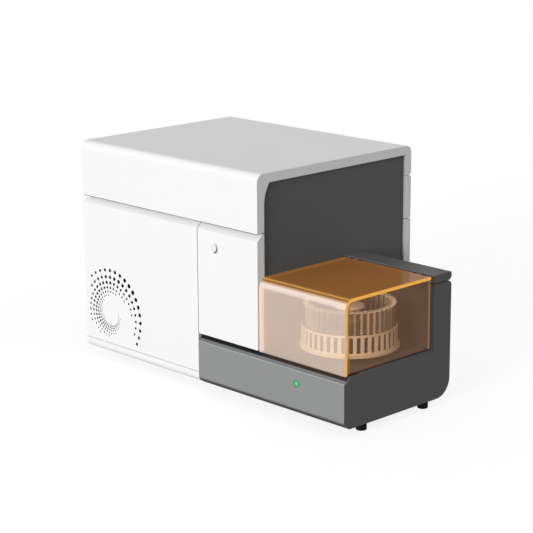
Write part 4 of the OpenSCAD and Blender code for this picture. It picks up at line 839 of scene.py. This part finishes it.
# Place in metres, turn about the upright axis, tilt up from straight down and roll
CAMERA_PLACE = (2.2785, -2.2522, 1.030)
CAMERA_TURN, CAMERA_TILT, CAMERA_ROLL = math.radians(45.95), math.radians(75.62), -0.006
CAMERA_SENSOR, CAMERA_LENS = 36.0, 115.17


def seen_rays(tree, camera=True):
    """1 for rays that end in the eye, in a gloss or behind clear plastic, 0 for scattered light."""
    rays = add(tree, "ShaderNodeLightPath")
    total = add(tree, "ShaderNodeMath", {"operation": "ADD"},
                [(0, rays, "Is Glossy Ray"), (1, rays, "Is Transmission Ray")])
    if camera:
        total = add(tree, "ShaderNodeMath", {"operation": "ADD"},
                    [(0, total, 0), (1, rays, "Is Camera Ray")])
    return add(tree, "ShaderNodeMath", {"operation": "MINIMUM", 1: 1.0}, [(0, total, 0)])


def studio_world(level):
    """A white room: seen directly, in gloss and through clear plastic it is white, and it lights
    the instrument evenly at the level given."""
    world = bpy.data.worlds.new("white_room")
    bpy.context.scene.world = world
    world.use_nodes = True
    tree = world.node_tree
    tree.nodes.clear()
    light = add(tree, "ShaderNodeBackground", {"Color": (1, 1, 1, 1), "Strength": level})
    white = add(tree, "ShaderNodeBackground", {"Color": (1, 1, 1, 1), "Strength": 1.0})
    mix = add(tree, "ShaderNodeMixShader",
              links=[(0, seen_rays(tree), 0), (1, light, 0), (2, white, 0)])
    add(tree, "ShaderNodeOutputWorld", links=[("Surface", mix, 0)])


def studio_floor():
    """A pale floor: to the camera it glows nearly white and scatters a little, so that the
    instrument's shadow shows on it."""
    mesh, half = bpy.data.meshes.new("studio_floor"), FLOOR_HALF
    mesh.from_pydata([(-half, -half, 0), (half, -half, 0), (half, half, 0), (-half, half, 0)], [],
                     [(0, 1, 2, 3)])
    floor = bpy.data.objects.new("studio_floor", mesh)
    bpy.context.scene.collection.objects.link(floor)
    tree, out, _ = start_finish("pale_floor")
    floor.data.materials.append(bpy.data.materials["pale_floor"])
    rays = add(tree, "ShaderNodeLightPath")
    glow = add(tree, "ShaderNodeEmission", {"Color": (1, 1, 1, 1), "Strength": FLOOR_GLOW})
    dull = add(tree, "ShaderNodeBsdfDiffuse", {"Color": (FLOOR_SCATTER,) * 3 + (1,)})
    front = add(tree, "ShaderNodeAddShader", links=[(0, glow, 0), (1, dull, 0)])
    white = add(tree, "ShaderNodeEmission", {"Color": (1, 1, 1, 1), "Strength": 1.0})
    ground = add(tree, "ShaderNodeBsdfDiffuse", {"Color": (FLOOR_GREY,) * 3 + (1,)})
    other = add(tree, "ShaderNodeMixShader",
                links=[(0, seen_rays(tree, False), 0), (1, ground, 0), (2, white, 0)])
    mix = add(tree, "ShaderNodeMixShader",
              links=[(0, rays, "Is Camera Ray"), (1, other, 0), (2, front, 0)])
    tree.links.new(mix.outputs[0], out.inputs[0])


def soft_sun(toward, strength, spread):
    """One broad lamp; toward is the direction from the instrument to it."""
    lamp = bpy.data.lights.new("broad_lamp", "SUN")
    lamp.energy, lamp.angle = strength, spread
    piece = bpy.data.objects.new("broad_lamp", lamp)
    bpy.context.scene.collection.objects.link(piece)
    piece.matrix_world = Matrix(frame_of(toward)).transposed().to_4x4()


def studio_camera():
    """The camera at the front right, looking slightly down at the instrument."""
    data = bpy.data.cameras.new("camera")
    data.sensor_width, data.lens = CAMERA_SENSOR, CAMERA_LENS
    camera = bpy.data.objects.new("camera", data)
    bpy.context.scene.collection.objects.link(camera)
    camera.matrix_world = (Matrix.Translation(CAMERA_PLACE) @ Matrix.Rotation(CAMERA_TURN, 4, "Z")
                           @ Matrix.Rotation(CAMERA_TILT, 4, "X")
                           @ Matrix.Rotation(CAMERA_ROLL, 4, "Z"))
    bpy.context.scene.camera = camera


# ---- Add-on ----

def hex_colour(name, text, code):
    """A colour the user may change."""
    return bpy.props.FloatVectorProperty(name=name, description=text, subtype="COLOR", size=3,
                                         min=0.0, max=1.0, default=to_linear(code)[:3])


def length(name, text, size):
    """A size the user may change, in metres."""
    return bpy.props.FloatProperty(name=name, description=text, unit="LENGTH", default=size,
                                   min=0.0)


class CytometerSizes(bpy.types.PropertyGroup):
    """Sizes of the small parts"""
    knob: length("Knob radius", "Radius of the knob that lifts the carousel out", 27.6 * MM)
    seal: length("Seal width", "Width of the rubber lip under the lid's front edge", 2.6 * MM)
    rib: length("Rib thickness", "Thickness of the ribs under the lid", 2.4 * MM)
    ribs: bpy.props.IntProperty(name="Ribs", description="Number of ribs under the lid", default=5,
                                min=2)
    magnet: length("Magnet radius", "Radius of the holders of the door's magnets", 7 * MM)
    head: length("Screw head", "Width of the heads of the screws in the connector plate", 5.5 * MM)


class CytometerFinishes(bpy.types.PropertyGroup):
    """Colours of the outer covers"""
    white: hex_colour("White covers", "Colour of the lid, the door and the panels", "#f6f6f6")
    side: hex_colour("Side panels", "Colour of the two steel side panels", "#646566")
    fascia: hex_colour("Fascia", "Colour of the autosampler's front", "#919292")
    housing: hex_colour("Housing", "Colour of the autosampler's housing", "#656566")


class CytometerStudio(bpy.types.PropertyGroup):
    """Light of the studio"""
    room: bpy.props.FloatProperty(name="Room light", description="Level of the even light",
                                  default=0.45, min=0.0)
    lamp: bpy.props.FloatProperty(name="Lamp", description="Strength of the broad lamp",
                                  default=2.34, min=0.0)
    spread: bpy.props.FloatProperty(name="Lamp size", description="Angle that the lamp fills",
                                    subtype="ANGLE", default=math.radians(24.0), min=0.0)


class CYTOMETER_OT_finishes(bpy.types.Operator):
    """Makes every finish and gives it to the solids of the frame"""
    bl_idname = "cytometer.finishes"
    bl_label = "Finishes"

    def execute(self, context):
        wanted = context.scene.cytometer_finishes
        make_finishes({key: getattr(wanted, key) for key in wanted.__annotations__})
        dress_nodes()
        return {"FINISHED"}


class CYTOMETER_OT_studio(bpy.types.Operator):
    """Makes the camera, the pale floor, the white room and the broad lamp"""
    bl_idname = "cytometer.studio"
    bl_label = "Studio"

    def execute(self, context):
        wanted = context.scene.cytometer_studio
        studio_camera()
        studio_floor()
        studio_world(wanted.room)
        soft_sun(LAMP_TOWARD, wanted.lamp, wanted.spread)
        context.scene.view_settings.view_transform = "Standard"
        return {"FINISHED"}


class CYTOMETER_OT_front_parts(bpy.types.Operator):
    """Makes the lid's seal, dark so that it also stands in for painted shadow under the lid's edge,
    its ribs, the button's mark and the door's magnets
    """
    bl_idname = "cytometer.front_parts"
    bl_label = "Lid, door and button parts"

    def execute(self, context):
        sizes = context.scene.cytometer_sizes
        lid_seal(sizes.seal)
        lid_ribs(sizes.ribs, sizes.rib)
        button_mark()
        door_magnets(sizes.magnet)
        return {"FINISHED"}


class CYTOMETER_OT_back_parts(bpy.types.Operator):
    """Makes the screws, blades and contacts of the back and the screws of the feet"""
    bl_idname = "cytometer.back_parts"
    bl_label = "Back and feet parts"

    def execute(self, context):
        back_fixings(context.scene.cytometer_sizes.head)
        inlet_blades()
        port_insides()
        foot_screws()
        return {"FINISHED"}


class CYTOMETER_OT_sampler_parts(bpy.types.Operator):
    """Makes the carousel's knob"""
    bl_idname = "cytometer.sampler_parts"
    bl_label = "Autosampler parts"

    def execute(self, context):
        carousel_knob(context.scene.cytometer_sizes.knob)
        return {"FINISHED"}


class CYTOMETER_OT_inner_parts(bpy.types.Operator):
    """Makes the screws, plugs and components inside the cabinet"""
    bl_idname = "cytometer.inner_parts"
    bl_label = "Inner parts"

    def execute(self, context):
        bench_fixings()
        detector_plugs()
        board_parts()
        return {"FINISHED"}


class CYTOMETER_PT_panel(bpy.types.Panel):
    """Lists the sizes and colours, and the steps that make the instrument"""
    bl_idname = "CYTOMETER_PT_panel"
    bl_label = "Flow cytometer"
    bl_space_type = "VIEW_3D"
    bl_region_type = "UI"
    bl_category = "Cytometer"

    def draw(self, context):
        for name in GROUPS:
            group = getattr(context.scene, name)
            for key in group.__annotations__:
                self.layout.prop(group, key)
        for step in STEPS:
            self.layout.operator(step.bl_idname)


GROUPS = {"cytometer_sizes": CytometerSizes, "cytometer_finishes": CytometerFinishes,
          "cytometer_studio": CytometerStudio}
STEPS = (CYTOMETER_OT_studio, CYTOMETER_OT_finishes, CYTOMETER_OT_front_parts,
         CYTOMETER_OT_back_parts, CYTOMETER_OT_sampler_parts, CYTOMETER_OT_inner_parts)
CLASSES = tuple(GROUPS.values()) + STEPS + (CYTOMETER_PT_panel,)


def register():
    """Adds the classes and gives the scene its sizes, colours and light."""
    for kind in CLASSES:
        bpy.utils.register_class(kind)
    for name, group in GROUPS.items():
        setattr(bpy.types.Scene, name, bpy.props.PointerProperty(type=group))


def unregister():
    """Takes away what register adds, in the opposite order."""
    for name in GROUPS:
        delattr(bpy.types.Scene, name)
    for kind in reversed(CLASSES):
        bpy.utils.unregister_class(kind)


def main():
    """Registers the add-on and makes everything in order."""
    register()
    for step in STEPS:
        area, name = step.bl_idname.split(".")
        getattr(getattr(bpy.ops, area), name)()


if __name__ == "__main__":
    main()
